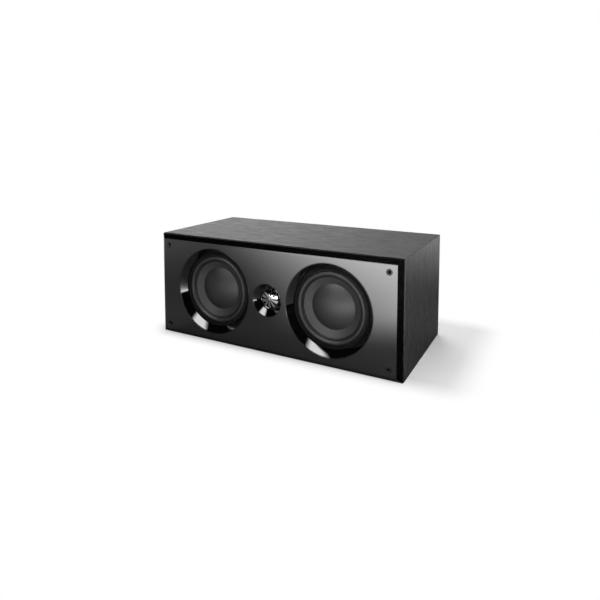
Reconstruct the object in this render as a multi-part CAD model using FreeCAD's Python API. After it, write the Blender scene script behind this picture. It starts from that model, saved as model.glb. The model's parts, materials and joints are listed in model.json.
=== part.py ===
import FreeCAD, Part
import math
import os

Vector = FreeCAD.Vector

# Sizes are in millimetres. X runs to the right seen from the front, Y to the rear and Z up.
# Depths are counted from the front plane of the fascia towards the rear.

# Cabinet
cabinet_width = 450.0
cabinet_height = 182.0
cabinet_depth = 212.0
wall = 15.0
cabinet_edge_radius = 1.0
baffle_thickness = 18.0
rear_panel_thickness = 15.0
rear_panel_inset = 3.0
brace_thickness = 12.0
brace_clearance = 3.0
brace_frame = 22.0
brace_window_radius = 14.0

# Fascia
fascia_edge = 3.2
bevel_depth = 6.8
bevel_inset = 7.7
fascia_reveal = 0.8
fascia_seam = 0.8
fascia_corner_radius = 5.0
face_corner_radius = 1.5
seam_width = 2.0

# Grille sockets
socket_side_margin = 20.5
socket_edge_margin = 19.5
socket_flange_radius = 4.65
socket_flange_thickness = 0.8
socket_body_radius = 3.6
socket_hole_radius = 2.3
socket_hole_depth = 11.5
socket_length = 14.0

# Clearances shared by the fits
press_gap = 0.2
glue_gap = 0.05
hole_clearance = 0.3
screw_clearance = 0.4
pilot_gap = 0.05
coil_clearance = 0.4
running_gap = 0.05

# Woofer front: trim ring, gasket, surround
mouth_radius = 73.4
flare_width = 9.6
flare_depth = 9.6
mouth_lip = 1.0
throat_lip = 0.7
lip_bulge = 0.3
trim_wall = 2.0
rim_depth = 12.0
rim_overlap = 0.4
gasket_gap = 0.4
gasket_width = 4.0
gasket_thickness = 1.6
surround_flange = 5.2
surround_thickness = 1.0
roll_radius = 3.7
surround_glue = 2.0

# Woofer moving parts
cone_margin = 0.4
cone_thickness = 1.0
cone_depth = 21.0
cap_radius = 36.5
cap_rise = 9.0
cap_thickness = 0.6
coil_radius = 12.75
former_wall = 0.3
former_stub = 1.5
winding_thickness = 0.4
winding_length = 13.0

# Woofer chassis and motor
flange_width = 4.8
flange_thickness = 5.0
seat_step = 3.0
flange_bearing = 7.2
basket_wall = 2.2
basket_opening = 1.0
basket_seat_radius = 46.5
basket_seat_thickness = 2.4
basket_seat_bore = 20.0
basket_windows = 6
window_angle = 42.0
window_margin = 3.0
spider_drop = 4.0
spider_thickness = 0.6
spider_ridges = 5
spider_ridge_height = 1.2
spider_collar = 1.6
ledge_width = 8.0
ledge_thickness = 2.4
spider_room = 5.6
plate_radius = 37.0
plate_thickness = 5.0
magnet_radius = 40.0
magnet_bore = 18.0
magnet_thickness = 15.0
yoke_thickness = 6.0
pole_margin = 0.5
woofer_screw_count = 4
screw_start_angle = 45.0
screw_head_radius = 2.6
screw_shank_radius = 1.6
screw_head_depth = 1.6
screw_length = 14.0
ear_length = 8.0
ear_width = 22.0
strip_thickness = 1.6
magnet_to_strip = 2.0
blade_length = 7.0
blade_thickness = 0.8
blade_width = 4.0
blade_spacing = 12.0

# Tweeter
flange_web = 1.8
tweeter_mouth_radius = 26.9
tweeter_flare_width = 8.7
tweeter_flare_depth = 8.6
tweeter_groove = 2.4
waveguide_ring_radius = 16.4
waveguide_ring_wall = 1.2
waveguide_setback = 0.2
waveguide_hub_radius = 2.4
waveguide_hub_depth = 7.6
vane_count = 10
vane_hub_width = 0.6
vane_rim_width = 6.4
vane_rear_depth = 13.2
dome_radius = 12.5
dome_rise = 5.4
dome_depth = 16.1
dome_thickness = 0.4
dome_clearance = 0.9
tweeter_coil_wall = 0.4
tweeter_coil_length = 5.0
tweeter_surround_thickness = 0.4
tweeter_roll_radius = 1.1
tweeter_roll_gap = 0.15
tweeter_surround_flange = 2.5
tweeter_flange_width = 7.0
tweeter_flange_thickness = 3.0
tweeter_flange_setback = 0.5
tweeter_plate_radius = 30.0
tweeter_plate_thickness = 3.0
tweeter_magnet_bore = 17.0
tweeter_magnet_thickness = 9.0
tweeter_yoke_thickness = 3.5
tweeter_screw_count = 4
tweeter_strip_width = 16.0
tweeter_strip_height = 9.0

# Rear fittings
port_radius = 21.0
port_wall = 2.5
port_mouth_flare = 8.0
port_flange_width = 3.0
port_flange_thickness = 2.3
port_length = 98.0
port_side_margin = 70.2
cup_width = 66.0
cup_height = 46.0
cup_depth = 20.0
cup_draft = 2.0
cup_wall = 1.5
cup_floor = 2.5
cup_flange_width = 7.5
cup_flange_thickness = 2.3
cup_corner_radius = 6.0
cup_flange_corner = 5.0
cup_screw_inset = 4.2
cup_side_margin = 60.2
post_spacing = 26.0
stud_radius = 2.95
stud_tail = 12.0
stud_reach = 18.2
banana_radius = 2.05
banana_depth = 16.0
collar_radius = 6.2
collar_height = 2.5
cap_gap = 1.7
cap_outer_radius = 6.4
cap_length = 13.0
cap_flutes = 12
flute_radius = 1.0
nut_across_flats = 9.0
nut_thickness = 4.5

# Crossover, standing on the cabinet floor between the braces
board_width = 62.0
board_length = 120.0
board_thickness = 1.6
board_rear_gap = 18.0
spacer_height = 5.0
spacer_radius = 3.5
spacer_inset = 4.0
board_screw_head = 2.8
board_screw_head_height = 1.8
board_screw_length = 5.0
coil_outer = 13.0
coil_inner = 6.0
coil_height = 16.0
capacitor_radius = 6.0
capacitor_length = 28.0
resistor_side = 8.0
resistor_length = 38.0
resistor_margin = 1.0
board_side_margin = 4.0
board_rear_margin = 10.0
part_gap = 2.0
coil_gap = 4.0
capacitor_setback = 55.0
cross_capacitor_gap = 14.0

# Wadding and leads
wadding_thickness = 20.0
wadding_clearance = 5.0
wadding_length = 115.0
wadding_gap = 0.5
wadding_edge_radius = 6.0
lead_radius = 1.6
bend_share = 0.45
woofer_lead_x = 20.0
woofer_lead_run = 7.0
tweeter_lead_run = 5.0
red_lead_x = -12.0
red_lead_setback = 20.0
black_lead_x = -20.0
black_lead_setback = 33.0

# Values worked out from the ones above
fascia_thickness = fascia_edge + bevel_depth
total_depth = cabinet_depth + fascia_thickness
front_plane = -total_depth / 2
mid_height = cabinet_height / 2
socket_row_spacing = cabinet_height - 2 * socket_edge_margin
inner_width = cabinet_width - 2 * wall
inner_height = cabinet_height - 2 * wall
baffle_rear = fascia_thickness + baffle_thickness
rear_face = total_depth - rear_panel_inset
rear_panel_front = rear_face - rear_panel_thickness

lip_crest = lip_bulge * mouth_lip
throat_radius = mouth_radius - flare_width
rim_inner = throat_radius + rim_overlap
flange_radius = rim_inner + flange_width
flange_rear = rim_depth + flange_thickness
seat_depth = rim_depth + seat_step
gasket_outer = throat_radius - gasket_gap
surround_front = seat_depth - surround_thickness
roll_outer = gasket_outer - surround_flange
roll_centre = roll_outer - roll_radius
roll_inner = roll_outer - 2 * roll_radius
cone_radius = roll_inner + cone_margin
cone_edge = roll_inner - surround_glue
former_outer = coil_radius + former_wall
neck_radius = former_outer + glue_gap
neck_depth = seat_depth + cone_depth
spider_front = neck_depth + spider_drop
ledge_depth = spider_front + spider_thickness
basket_inside = ledge_depth + ledge_thickness + spider_room
basket_rear = basket_inside + basket_seat_thickness
shoulder_radius = flange_radius - flange_bearing
plate_rear = basket_rear + plate_thickness
magnet_rear = plate_rear + magnet_thickness
yoke_rear = magnet_rear + yoke_thickness
winding_front = basket_rear + plate_thickness / 2 - winding_length / 2
winding_rear = winding_front + winding_length
winding_outer = former_outer + glue_gap + winding_thickness
strip_inner = magnet_radius + magnet_to_strip
strip_outer = basket_seat_radius + ear_length
screw_circle = rim_inner + flange_width / 2
tweeter_flange_radius = tweeter_plate_radius + tweeter_flange_width
woofer_offset = tweeter_flange_radius + flange_web + flange_radius

tweeter_throat = tweeter_mouth_radius - tweeter_flare_width
waveguide_bore = waveguide_ring_radius + press_gap
tweeter_plate_front = dome_depth + tweeter_surround_thickness
tweeter_plate_rear = tweeter_plate_front + tweeter_plate_thickness
tweeter_magnet_rear = tweeter_plate_rear + tweeter_magnet_thickness
tweeter_yoke_rear = tweeter_magnet_rear + tweeter_yoke_thickness
tweeter_flange_front = fascia_thickness + tweeter_flange_setback
tweeter_flange_rear = tweeter_flange_front + tweeter_flange_thickness
tweeter_coil_inner = dome_radius - dome_thickness / 2
tweeter_coil_outer = tweeter_coil_inner + tweeter_coil_wall
tweeter_screw_circle = (tweeter_plate_radius + tweeter_flange_radius) / 2
tweeter_roll_inner = tweeter_coil_outer + tweeter_roll_gap
tweeter_surround_outer = tweeter_roll_inner + 2 * tweeter_roll_radius + tweeter_surround_flange

cup_face = rear_face + cup_flange_thickness
cup_floor_depth = cup_face - cup_depth
cup_back = cup_floor_depth - cup_floor
cup_body_width = cup_width + 2 * cup_wall
cup_body_height = cup_height + 2 * cup_wall
cup_flange_x = cup_body_width + 2 * cup_flange_width
cup_flange_z = cup_body_height + 2 * cup_flange_width
cup_offset = cup_side_margin + cup_flange_x / 2 - inner_width / 2
port_flange_radius = port_radius + port_mouth_flare + port_flange_width
port_offset = inner_width / 2 - port_side_margin - port_flange_radius
fittings_bottom = mid_height - max(cup_body_height / 2, port_radius + port_wall)
wadding_top = fittings_bottom - wadding_clearance
stud_end = cup_floor_depth + stud_reach
stud_start = cup_back - stud_tail
cap_start = cup_floor_depth + collar_height + cap_gap
board_top = wall + spacer_height + board_thickness
board_rear = rear_panel_front - board_rear_gap
board_front = board_rear - board_length
board_hole_radius = screw_shank_radius + pilot_gap
coil_x = board_width / 2 - board_side_margin - coil_outer
first_coil_depth = board_rear - board_rear_margin - coil_outer
second_coil_depth = first_coil_depth - 2 * coil_outer - coil_gap
near_capacitor_x = coil_x - coil_outer - part_gap / 2 - capacitor_radius
far_capacitor_x = near_capacitor_x - 2 * capacitor_radius - part_gap
capacitor_depth = board_rear - capacitor_setback
resistor_depth = board_front + resistor_margin + resistor_side / 2
tweeter_lead_depth = resistor_depth + resistor_side / 2 + tweeter_lead_run + lead_radius
cross_capacitor_depth = tweeter_lead_depth + cross_capacitor_gap
woofer_lead_depth = cross_capacitor_depth + capacitor_radius + woofer_lead_run + lead_radius
red_lead_depth = board_rear - red_lead_setback
black_lead_depth = board_rear - black_lead_setback


def y_at(depth):
    """Y of a depth counted from the front plane."""
    return front_plane + depth


def profile(start, *steps):
    """Closed face through radius and depth pairs: one pair is a line, two are an arc through the first."""
    here = Vector(start[0], y_at(start[1]), 0)
    edges = []
    for step in steps:
        there = Vector(step[-2], y_at(step[-1]), 0)
        if len(step) == 4:
            edges.append(Part.Arc(here, Vector(step[0], y_at(step[1]), 0), there).toShape())
        else:
            edges.append(Part.LineSegment(here, there).toShape())
        here = there
    if steps[-1][-2:] != start:
        edges.append(Part.LineSegment(here, Vector(start[0], y_at(start[1]), 0)).toShape())
    return Part.Face(Part.Wire(edges))


def turned(face, x=0.0, z=mid_height, angle=360.0, start_angle=0.0):
    """Solid of revolution of a profile about the Y direction through x and z."""
    solid = face.revolve(Vector(0, 0, 0), Vector(0, 1, 0), angle)
    solid.rotate(Vector(0, 0, 0), Vector(0, 1, 0), start_angle)
    solid.translate(Vector(x, 0, z))
    return solid


def ring(outer, inner, front, rear, x=0.0, z=mid_height):
    """Plain ring, or a disc where the inner radius is zero."""
    return turned(profile((inner, front), (outer, front), (outer, rear), (inner, rear)), x, z)


def block(x_range, depth_range, z_range):
    """Box between two values on each axis, with depths counted from the front plane."""
    size = [high - low for low, high in (x_range, depth_range, z_range)]
    return Part.makeBox(*size, Vector(x_range[0], y_at(depth_range[0]), z_range[0]))


def rounded_wire(width, height, radius, depth, x=0.0, z=mid_height):
    """Rounded rectangle standing upright at a depth."""
    y = y_at(depth)
    edges = []
    corners = []
    for quarter, (side, rise) in enumerate(((1, 1), (-1, 1), (-1, -1), (1, -1))):
        centre = Vector(x + side * (width / 2 - radius), y, z + rise * (height / 2 - radius))
        points = []
        for eighth in range(3):
            angle = math.radians(90 * quarter + 45 * eighth)
            points.append(centre + Vector(radius * math.cos(angle), 0, radius * math.sin(angle)))
        corners.append(points)
    for index, points in enumerate(corners):
        edges.append(Part.Arc(*points).toShape())
        edges.append(Part.LineSegment(points[2], corners[(index + 1) % 4][0]).toShape())
    return Part.Wire(edges)


def rounded_plate(width, height, radius, front, rear, x=0.0, z=mid_height):
    """Upright plate with rounded corners between two depths."""
    face = Part.Face(rounded_wire(width, height, radius, front, x, z))
    return face.extrude(Vector(0, rear - front, 0))


def around(count, radius, x, z, start_angle=0.0):
    """Places spread evenly on a circle about x and z."""
    for index in range(count):
        angle = math.radians(start_angle + 360.0 * index / count)
        yield x + radius * math.cos(angle), z + radius * math.sin(angle)


def cut_all(shape, tools):
    """Shape less every tool."""
    for tool in tools:
        shape = shape.cut(tool)
    return shape


def fuse_all(shapes):
    """One solid out of shapes that overlap."""
    return shapes[0].multiFuse(shapes[1:]).removeSplitter()


def edges_along(shape, direction):
    """Straight edges of a shape that run along a direction."""
    return [edge for edge in shape.Edges if abs(edge.tangentAt(edge.FirstParameter).dot(direction)) > 0.99]


def cap_depth(radius, crest, sphere):
    """Depth of a spherical cap's surface at a radius from its axis."""
    return crest + sphere - math.sqrt(sphere**2 - radius**2)


def sphere_radius(radius, rise):
    """Radius of the sphere whose cap has this rim radius and rise."""
    return (radius**2 + rise**2) / (2 * rise)


def save(name, *solids):
    """Write one node's solids to its file."""
    shape = solids[0] if len(solids) == 1 else Part.makeCompound(solids)
    shape.exportStep(os.path.join("parts", name + ".step"))


def screw(face, inward_sign, x, z):
    """Countersunk screw with its flat head at the face depth, driven towards larger or smaller depths."""
    neck = face + inward_sign * screw_head_depth
    tip = face + inward_sign * screw_length
    half = profile(
        (0, face), (screw_head_radius, face), (screw_shank_radius, neck), (screw_shank_radius, tip), (0, tip)
    )
    return turned(half, x, z)


def countersink(face, far, x, z):
    """Tool for a countersunk hole from a flange's face to its far side, with room round the screw."""
    head = screw_head_radius + screw_clearance
    shank = screw_shank_radius + screw_clearance
    neck = face + math.copysign(screw_head_depth, far - face)
    return turned(profile((0, face), (head, face), (shank, neck), (shank, far), (0, far)), x, z)


def pilot_hole(front, rear, x, z):
    """Tool for the hole that a screw's shank bites into."""
    return ring(screw_shank_radius + pilot_gap, 0, front, rear, x, z)


woofer_places = {"left": -woofer_offset, "right": woofer_offset}
woofer_screw_places = {
    side: list(around(woofer_screw_count, screw_circle, x, mid_height, screw_start_angle))
    for side, x in woofer_places.items()
}
tweeter_screw_places = list(
    around(tweeter_screw_count, tweeter_screw_circle, 0.0, mid_height, screw_start_angle)
)
cup_screw_x = cup_flange_x / 2 - cup_screw_inset
cup_screw_z = cup_flange_z / 2 - cup_screw_inset
cup_screw_places = [
    (cup_offset + side * cup_screw_x, mid_height + rise * cup_screw_z) for side in (-1, 1) for rise in (-1, 1)
]
socket_places = [
    (side * (cabinet_width / 2 - socket_side_margin), mid_height + rise * socket_row_spacing / 2)
    for side in (-1, 1)
    for rise in (-1, 1)
]
post_places = {"red": cup_offset + post_spacing / 2, "black": cup_offset - post_spacing / 2}


def basket_wall_radius(depth):
    """Outer radius of the basket's tapering wall at a depth."""
    share = (depth - flange_rear) / (basket_inside - flange_rear)
    return shoulder_radius + share * (basket_seat_radius - shoulder_radius)


spider_radius = basket_wall_radius(ledge_depth) - basket_wall - glue_gap
ledge_inner = spider_radius - ledge_width
brace_outer = woofer_offset - basket_wall_radius(baffle_rear) - brace_clearance


def cabinet_wrap():
    """Vinyl-covered board folded into a sleeve with sharp outer edges."""
    half = cabinet_width / 2
    outer = block((-half, half), (fascia_thickness, total_depth), (0, cabinet_height))
    outer = outer.makeFillet(cabinet_edge_radius, edges_along(outer, Vector(0, 1, 0)))
    inner = block(
        (-inner_width / 2, inner_width / 2),
        (fascia_thickness, total_depth),
        (wall, wall + inner_height),
    )
    return outer.cut(inner)


def baffle_board():
    """Board behind the fascia, rebated and bored for the three drivers."""
    half = inner_width / 2
    board = block((-half, half), (fascia_thickness, baffle_rear), (wall, wall + inner_height))
    tools = []
    for side, x in woofer_places.items():
        tools.append(ring(flange_radius + hole_clearance, 0, fascia_thickness, flange_rear, x))
        tools.append(ring(shoulder_radius + hole_clearance, 0, fascia_thickness, baffle_rear, x))
        for place in woofer_screw_places[side]:
            tools.append(pilot_hole(flange_rear, rim_depth + screw_length, *place))
    tools.append(ring(tweeter_flange_radius + hole_clearance, 0, fascia_thickness, tweeter_flange_rear))
    tools.append(ring(tweeter_plate_radius + hole_clearance, 0, fascia_thickness, baffle_rear))
    for place in tweeter_screw_places:
        tools.append(pilot_hole(tweeter_flange_rear, tweeter_flange_front + screw_length, *place))
    for place in socket_places:
        tools.append(ring(socket_body_radius + hole_clearance, 0, fascia_thickness, socket_length, *place))
    return cut_all(board, tools)


def rear_panel():
    """Rear board with openings for the terminal cup and the reflex port."""
    half = inner_width / 2
    panel = block((-half, half), (rear_panel_front, rear_face), (wall, wall + inner_height))
    cup_hole = rounded_plate(
        cup_body_width + 2 * hole_clearance,
        cup_body_height + 2 * hole_clearance,
        cup_corner_radius + hole_clearance,
        rear_panel_front,
        rear_face,
        cup_offset,
    )
    port_hole = ring(port_radius + port_wall + hole_clearance, 0, rear_panel_front, rear_face, port_offset)
    pilots = [pilot_hole(cup_face - screw_length, rear_face, *place) for place in cup_screw_places]
    return cut_all(panel, [cup_hole, port_hole] + pilots)


def brace(side):
    """Upright board between the front and rear boards with one large window."""
    near, far = sorted((side * brace_outer, side * (brace_outer - brace_thickness)))
    plate = block((near, far), (baffle_rear, rear_panel_front), (wall, wall + inner_height))
    front = baffle_rear + brace_frame
    rear = rear_panel_front - brace_frame
    window = block((near, far), (front, rear), (wall + brace_frame, wall + inner_height - brace_frame))
    return plate.cut(window.makeFillet(brace_window_radius, edges_along(window, Vector(1, 0, 0))))


def front_fascia():
    """Moulded front with a bevel all round, mouths for the drivers and seats for the grille sockets."""
    width = cabinet_width - 2 * fascia_reveal
    height = cabinet_height - 2 * fascia_reveal
    edge_rear = fascia_thickness - fascia_seam
    base = rounded_plate(width, height, fascia_corner_radius, bevel_depth, edge_rear)
    outline = rounded_wire(width, height, fascia_corner_radius, bevel_depth)
    face = rounded_wire(width - 2 * bevel_inset, height - 2 * bevel_inset, face_corner_radius, 0)
    bevel = Part.makeLoft([face, outline], True, True)
    pad_width = inner_width - 2 * seam_width
    pad_height = inner_height - 2 * seam_width
    pad = rounded_plate(pad_width, pad_height, fascia_corner_radius, edge_rear, fascia_thickness)
    body = fuse_all([bevel, base, pad])
    tools = [ring(mouth_radius + press_gap, 0, 0, fascia_thickness, x) for x in woofer_places.values()]
    tools.append(ring(tweeter_mouth_radius + press_gap, 0, 0, fascia_thickness))
    for place in socket_places:
        tools.append(ring(socket_flange_radius + hole_clearance / 2, 0, 0, socket_flange_thickness, *place))
        tools.append(ring(socket_body_radius + hole_clearance, 0, 0, fascia_thickness, *place))
    return cut_all(body, tools)


def grille_socket(x, z):
    """Cup with a thin flange that takes one grille peg."""
    half = profile(
        (socket_hole_radius, 0),
        (socket_flange_radius, 0),
        (socket_flange_radius, socket_flange_thickness),
        (socket_body_radius, socket_flange_thickness),
        (socket_body_radius, socket_length),
        (0, socket_length),
        (0, socket_hole_depth),
        (socket_hole_radius, socket_hole_depth),
    )
    return turned(half, x, z)


def trim_ring(x):
    """Thin-walled flare with a rounded mouth, standing on the baffle and on the basket's rim."""
    slope = (mouth_radius - mouth_lip - throat_radius - throat_lip) / (flare_depth - mouth_lip)
    wall_across = trim_wall * math.hypot(1, slope)
    outer_foot = mouth_radius - trim_wall
    inner_foot = throat_radius + throat_lip + trim_wall
    upper_depth = mouth_lip + (mouth_radius - mouth_lip + wall_across - outer_foot) / slope
    lower_depth = mouth_lip + (mouth_radius - mouth_lip + wall_across - inner_foot) / slope
    half = profile(
        (mouth_radius, mouth_lip),
        (mouth_radius, fascia_thickness),
        (outer_foot, fascia_thickness),
        (outer_foot, upper_depth),
        (inner_foot, lower_depth),
        (inner_foot, rim_depth),
        (throat_radius, rim_depth),
        (throat_radius, flare_depth + throat_lip),
        (
            throat_radius + lip_bulge * throat_lip,
            flare_depth + lip_bulge * throat_lip,
            throat_radius + throat_lip,
            flare_depth,
        ),
        (mouth_radius - mouth_lip, mouth_lip),
        (mouth_radius - lip_crest, lip_crest, mouth_radius, mouth_lip),
    )
    return turned(half, x)


def gasket(x):
    """Flat front gasket over the surround's flange."""
    inner = gasket_outer - gasket_width
    return ring(gasket_outer, inner, surround_front - gasket_thickness, surround_front, x)


def surround(x):
    """Rubber half roll between the basket's seat and the cone's edge."""
    inside = roll_radius - surround_thickness
    half = profile(
        (gasket_outer, surround_front),
        (gasket_outer, seat_depth),
        (roll_centre + inside, seat_depth),
        (roll_centre + inside, surround_front),
        (roll_centre, surround_front - inside, roll_centre - inside, surround_front),
        (roll_centre - inside, seat_depth),
        (cone_edge, seat_depth),
        (cone_edge, surround_front),
        (roll_inner, surround_front),
        (roll_centre, surround_front - roll_radius, roll_outer, surround_front),
    )
    return turned(half, x)


def cone_front(radius):
    """Depth of the cone's front surface at a radius."""
    return seat_depth + cone_depth * (cone_edge - radius) / (cone_edge - neck_radius)


def cone(x):
    """Straight-sided cone with a flat lip for the surround."""
    slant = cone_thickness * math.hypot(1, cone_depth / (cone_edge - neck_radius))
    half = profile(
        (neck_radius, neck_depth),
        (cone_edge, seat_depth),
        (cone_radius, seat_depth),
        (cone_radius, seat_depth + cone_thickness),
        (cone_edge, seat_depth + slant),
        (neck_radius, neck_depth + slant),
    )
    return turned(half, x)


def dust_cap(x):
    """Large shallow dome glued to the cone."""
    inner = cap_radius - cap_thickness
    sphere = sphere_radius(cap_radius, cap_rise)
    rim_front = cone_front(cap_radius) - glue_gap
    rim_back = cone_front(inner) - glue_gap
    crest = rim_front - cap_rise
    under_rise = rim_back - crest - cap_thickness
    under = sphere_radius(inner, under_rise)
    half = profile(
        (0, crest),
        (cap_radius / 2, cap_depth(cap_radius / 2, crest, sphere), cap_radius, rim_front),
        (inner, rim_back),
        (inner / 2, cap_depth(inner / 2, crest + cap_thickness, under), 0, crest + cap_thickness),
    )
    return turned(half, x)


def coil_former(x):
    """Thin tube that carries the voice coil."""
    return ring(former_outer, coil_radius, neck_depth - former_stub, winding_rear, x)


def coil_winding(x):
    """Voice coil wound round the former, longer than the gap is deep."""
    return ring(winding_outer, former_outer + glue_gap, winding_front, winding_rear, x)


def spider(x):
    """Corrugated disc that centres the coil: ridges in front, the same ridges one thickness behind."""
    inner = former_outer + glue_gap
    first = inner + spider_collar
    last = spider_radius - ledge_width
    pitch = (last - first) / (2 * spider_ridges)
    front = [(inner, spider_front), (first, spider_front)]
    for index in range(1, 2 * spider_ridges):
        lift = spider_ridge_height if index % 2 else -spider_ridge_height
        front.append((first + index * pitch, spider_front - lift))
    front += [(last, spider_front), (spider_radius, spider_front)]
    back = [(radius, depth + spider_thickness) for radius, depth in reversed(front)]
    return turned(profile(*front, *back), x)


def basket(side, x):
    """Chassis with a rebated flange, a tapering wall with windows, a spider ledge and a motor seat."""
    ledge_rear = ledge_depth + ledge_thickness
    half = profile(
        (rim_inner, rim_depth),
        (flange_radius, rim_depth),
        (flange_radius, flange_rear),
        (shoulder_radius, flange_rear),
        (basket_seat_radius, basket_inside),
        (basket_seat_radius, basket_rear),
        (basket_seat_bore, basket_rear),
        (basket_seat_bore, basket_inside),
        (basket_seat_radius - basket_wall, basket_inside),
        (basket_wall_radius(ledge_rear) - basket_wall, ledge_rear),
        (ledge_inner, ledge_rear),
        (ledge_inner, ledge_depth),
        (basket_wall_radius(ledge_depth) - basket_wall, ledge_depth),
        (shoulder_radius - basket_wall, flange_rear),
        (roll_outer - basket_opening, flange_rear),
        (roll_outer - basket_opening, seat_depth),
        (rim_inner, seat_depth),
    )
    window = profile(
        (ledge_inner, flange_rear + window_margin),
        (flange_radius, flange_rear + window_margin),
        (flange_radius, ledge_depth - window_margin),
        (ledge_inner, ledge_depth - window_margin),
    )
    tools = [
        turned(window, x, mid_height, window_angle, 360.0 * index / basket_windows)
        for index in range(basket_windows)
    ]
    tools += [countersink(rim_depth, flange_rear, *place) for place in woofer_screw_places[side]]
    ear_start = basket_seat_radius - basket_wall
    ear = block(
        sorted((x + inward(x) * ear_start, x + inward(x) * strip_outer)),
        (basket_inside, basket_rear),
        (mid_height - ear_width / 2, mid_height + ear_width / 2),
    )
    return fuse_all([cut_all(turned(half, x), tools), ear])


def inward(x):
    """Sign of the direction from a woofer towards the middle of the cabinet."""
    return -1 if x > 0 else 1


def terminal_strip(x):
    """Insulating strip on the basket's ear with two blades that point to the rear."""
    middle = x + inward(x) * (strip_inner + strip_outer) / 2
    strip = block(
        sorted((x + inward(x) * strip_inner, x + inward(x) * strip_outer)),
        (basket_rear, basket_rear + strip_thickness),
        (mid_height - ear_width / 2, mid_height + ear_width / 2),
    )
    blades = [
        block(
            (middle - blade_width / 2, middle + blade_width / 2),
            (basket_rear, basket_rear + strip_thickness + blade_length),
            (z - blade_thickness / 2, z + blade_thickness / 2),
        )
        for z in (mid_height - blade_spacing / 2, mid_height + blade_spacing / 2)
    ]
    return fuse_all([strip] + blades)


def yoke(x):
    """Rear plate with the pole that fills the coil."""
    pole_radius = coil_radius - coil_clearance
    half = profile(
        (0, basket_rear - pole_margin),
        (pole_radius, basket_rear - pole_margin),
        (pole_radius, magnet_rear),
        (plate_radius, magnet_rear),
        (plate_radius, yoke_rear),
        (0, yoke_rear),
    )
    return turned(half, x)


def tweeter_flare():
    """Moulded horn mouth with its mounting flange and the seat for the waveguide."""
    half = profile(
        (tweeter_mouth_radius, mouth_lip),
        (tweeter_mouth_radius, tweeter_flange_front),
        (tweeter_flange_radius, tweeter_flange_front),
        (tweeter_flange_radius, tweeter_flange_rear),
        (tweeter_plate_radius, tweeter_flange_rear),
        (tweeter_plate_radius, tweeter_plate_front),
        (tweeter_surround_outer + press_gap, tweeter_plate_front),
        (tweeter_surround_outer + press_gap, dome_depth),
        (waveguide_bore, dome_depth),
        (waveguide_bore, tweeter_flare_depth + tweeter_groove),
        (tweeter_throat, tweeter_flare_depth + tweeter_groove),
        (tweeter_throat, tweeter_flare_depth),
        (tweeter_mouth_radius - mouth_lip, mouth_lip),
        (tweeter_mouth_radius - lip_crest, lip_crest, tweeter_mouth_radius, mouth_lip),
    )
    holes = [countersink(tweeter_flange_front, tweeter_flange_rear, *place) for place in tweeter_screw_places]
    return cut_all(turned(half), holes)


def tweeter_waveguide():
    """Ring with tapering radial vanes and a hub that follow the dome at a small distance."""
    inner = waveguide_ring_radius - waveguide_ring_wall
    ring_front = tweeter_flare_depth - waveguide_setback
    sphere = sphere_radius(dome_radius, dome_rise) + dome_clearance
    crest = dome_depth - dome_rise - dome_clearance
    reach = math.sqrt(sphere**2 - (crest + sphere - vane_rear_depth) ** 2)
    solid = turned(
        profile(
            (0, waveguide_hub_depth),
            (waveguide_ring_radius, ring_front),
            (waveguide_ring_radius, vane_rear_depth),
            (reach, vane_rear_depth),
            (reach / 2, cap_depth(reach / 2, crest, sphere), 0, crest),
        )
    )
    star = [ring(waveguide_hub_radius, 0, 0, vane_rear_depth)]
    start = waveguide_hub_radius / 2
    for index in range(vane_count):
        corners = [
            Vector(start, y_at(0), mid_height - vane_hub_width / 2),
            Vector(waveguide_ring_radius, y_at(0), mid_height - vane_rim_width / 2),
            Vector(waveguide_ring_radius, y_at(0), mid_height + vane_rim_width / 2),
            Vector(start, y_at(0), mid_height + vane_hub_width / 2),
        ]
        vane = Part.Face(Part.makePolygon(corners + corners[:1])).extrude(Vector(0, vane_rear_depth, 0))
        vane.rotate(Vector(0, 0, mid_height), Vector(0, 1, 0), 90 + 360.0 * index / vane_count)
        star.append(vane)
    vanes = solid.common(fuse_all(star))
    return fuse_all([ring(waveguide_ring_radius, inner, ring_front, dome_depth), vanes])


def tweeter_dome():
    """Thin dome standing on the front edge of its coil."""
    inner = dome_radius - dome_thickness
    crest = dome_depth - dome_rise
    sphere = sphere_radius(dome_radius, dome_rise)
    under = sphere_radius(inner, dome_rise - dome_thickness)
    half = profile(
        (0, crest),
        (dome_radius / 2, cap_depth(dome_radius / 2, crest, sphere), dome_radius, dome_depth),
        (inner, dome_depth),
        (inner / 2, cap_depth(inner / 2, crest + dome_thickness, under), 0, crest + dome_thickness),
    )
    return turned(half)


def tweeter_surround():
    """Small half roll from the coil's edge out to a flat ring on the top plate."""
    centre = tweeter_roll_inner + tweeter_roll_radius
    inside = tweeter_roll_radius - tweeter_surround_thickness
    half = profile(
        (tweeter_surround_outer, dome_depth),
        (tweeter_surround_outer, tweeter_plate_front),
        (centre + inside, tweeter_plate_front),
        (centre + inside, dome_depth),
        (centre, dome_depth - inside, centre - inside, dome_depth),
        (centre - inside, tweeter_plate_front),
        (tweeter_roll_inner, tweeter_plate_front),
        (tweeter_roll_inner, dome_depth),
        (centre, dome_depth - tweeter_roll_radius, centre + tweeter_roll_radius, dome_depth),
    )
    return turned(half)


def tweeter_yoke():
    """Rear plate and pole of the tweeter's motor."""
    pole_radius = tweeter_coil_inner - coil_clearance
    half = profile(
        (0, tweeter_plate_front),
        (pole_radius, tweeter_plate_front),
        (pole_radius, tweeter_magnet_rear),
        (tweeter_plate_radius, tweeter_magnet_rear),
        (tweeter_plate_radius, tweeter_yoke_rear),
        (0, tweeter_yoke_rear),
    )
    return turned(half)


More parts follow.
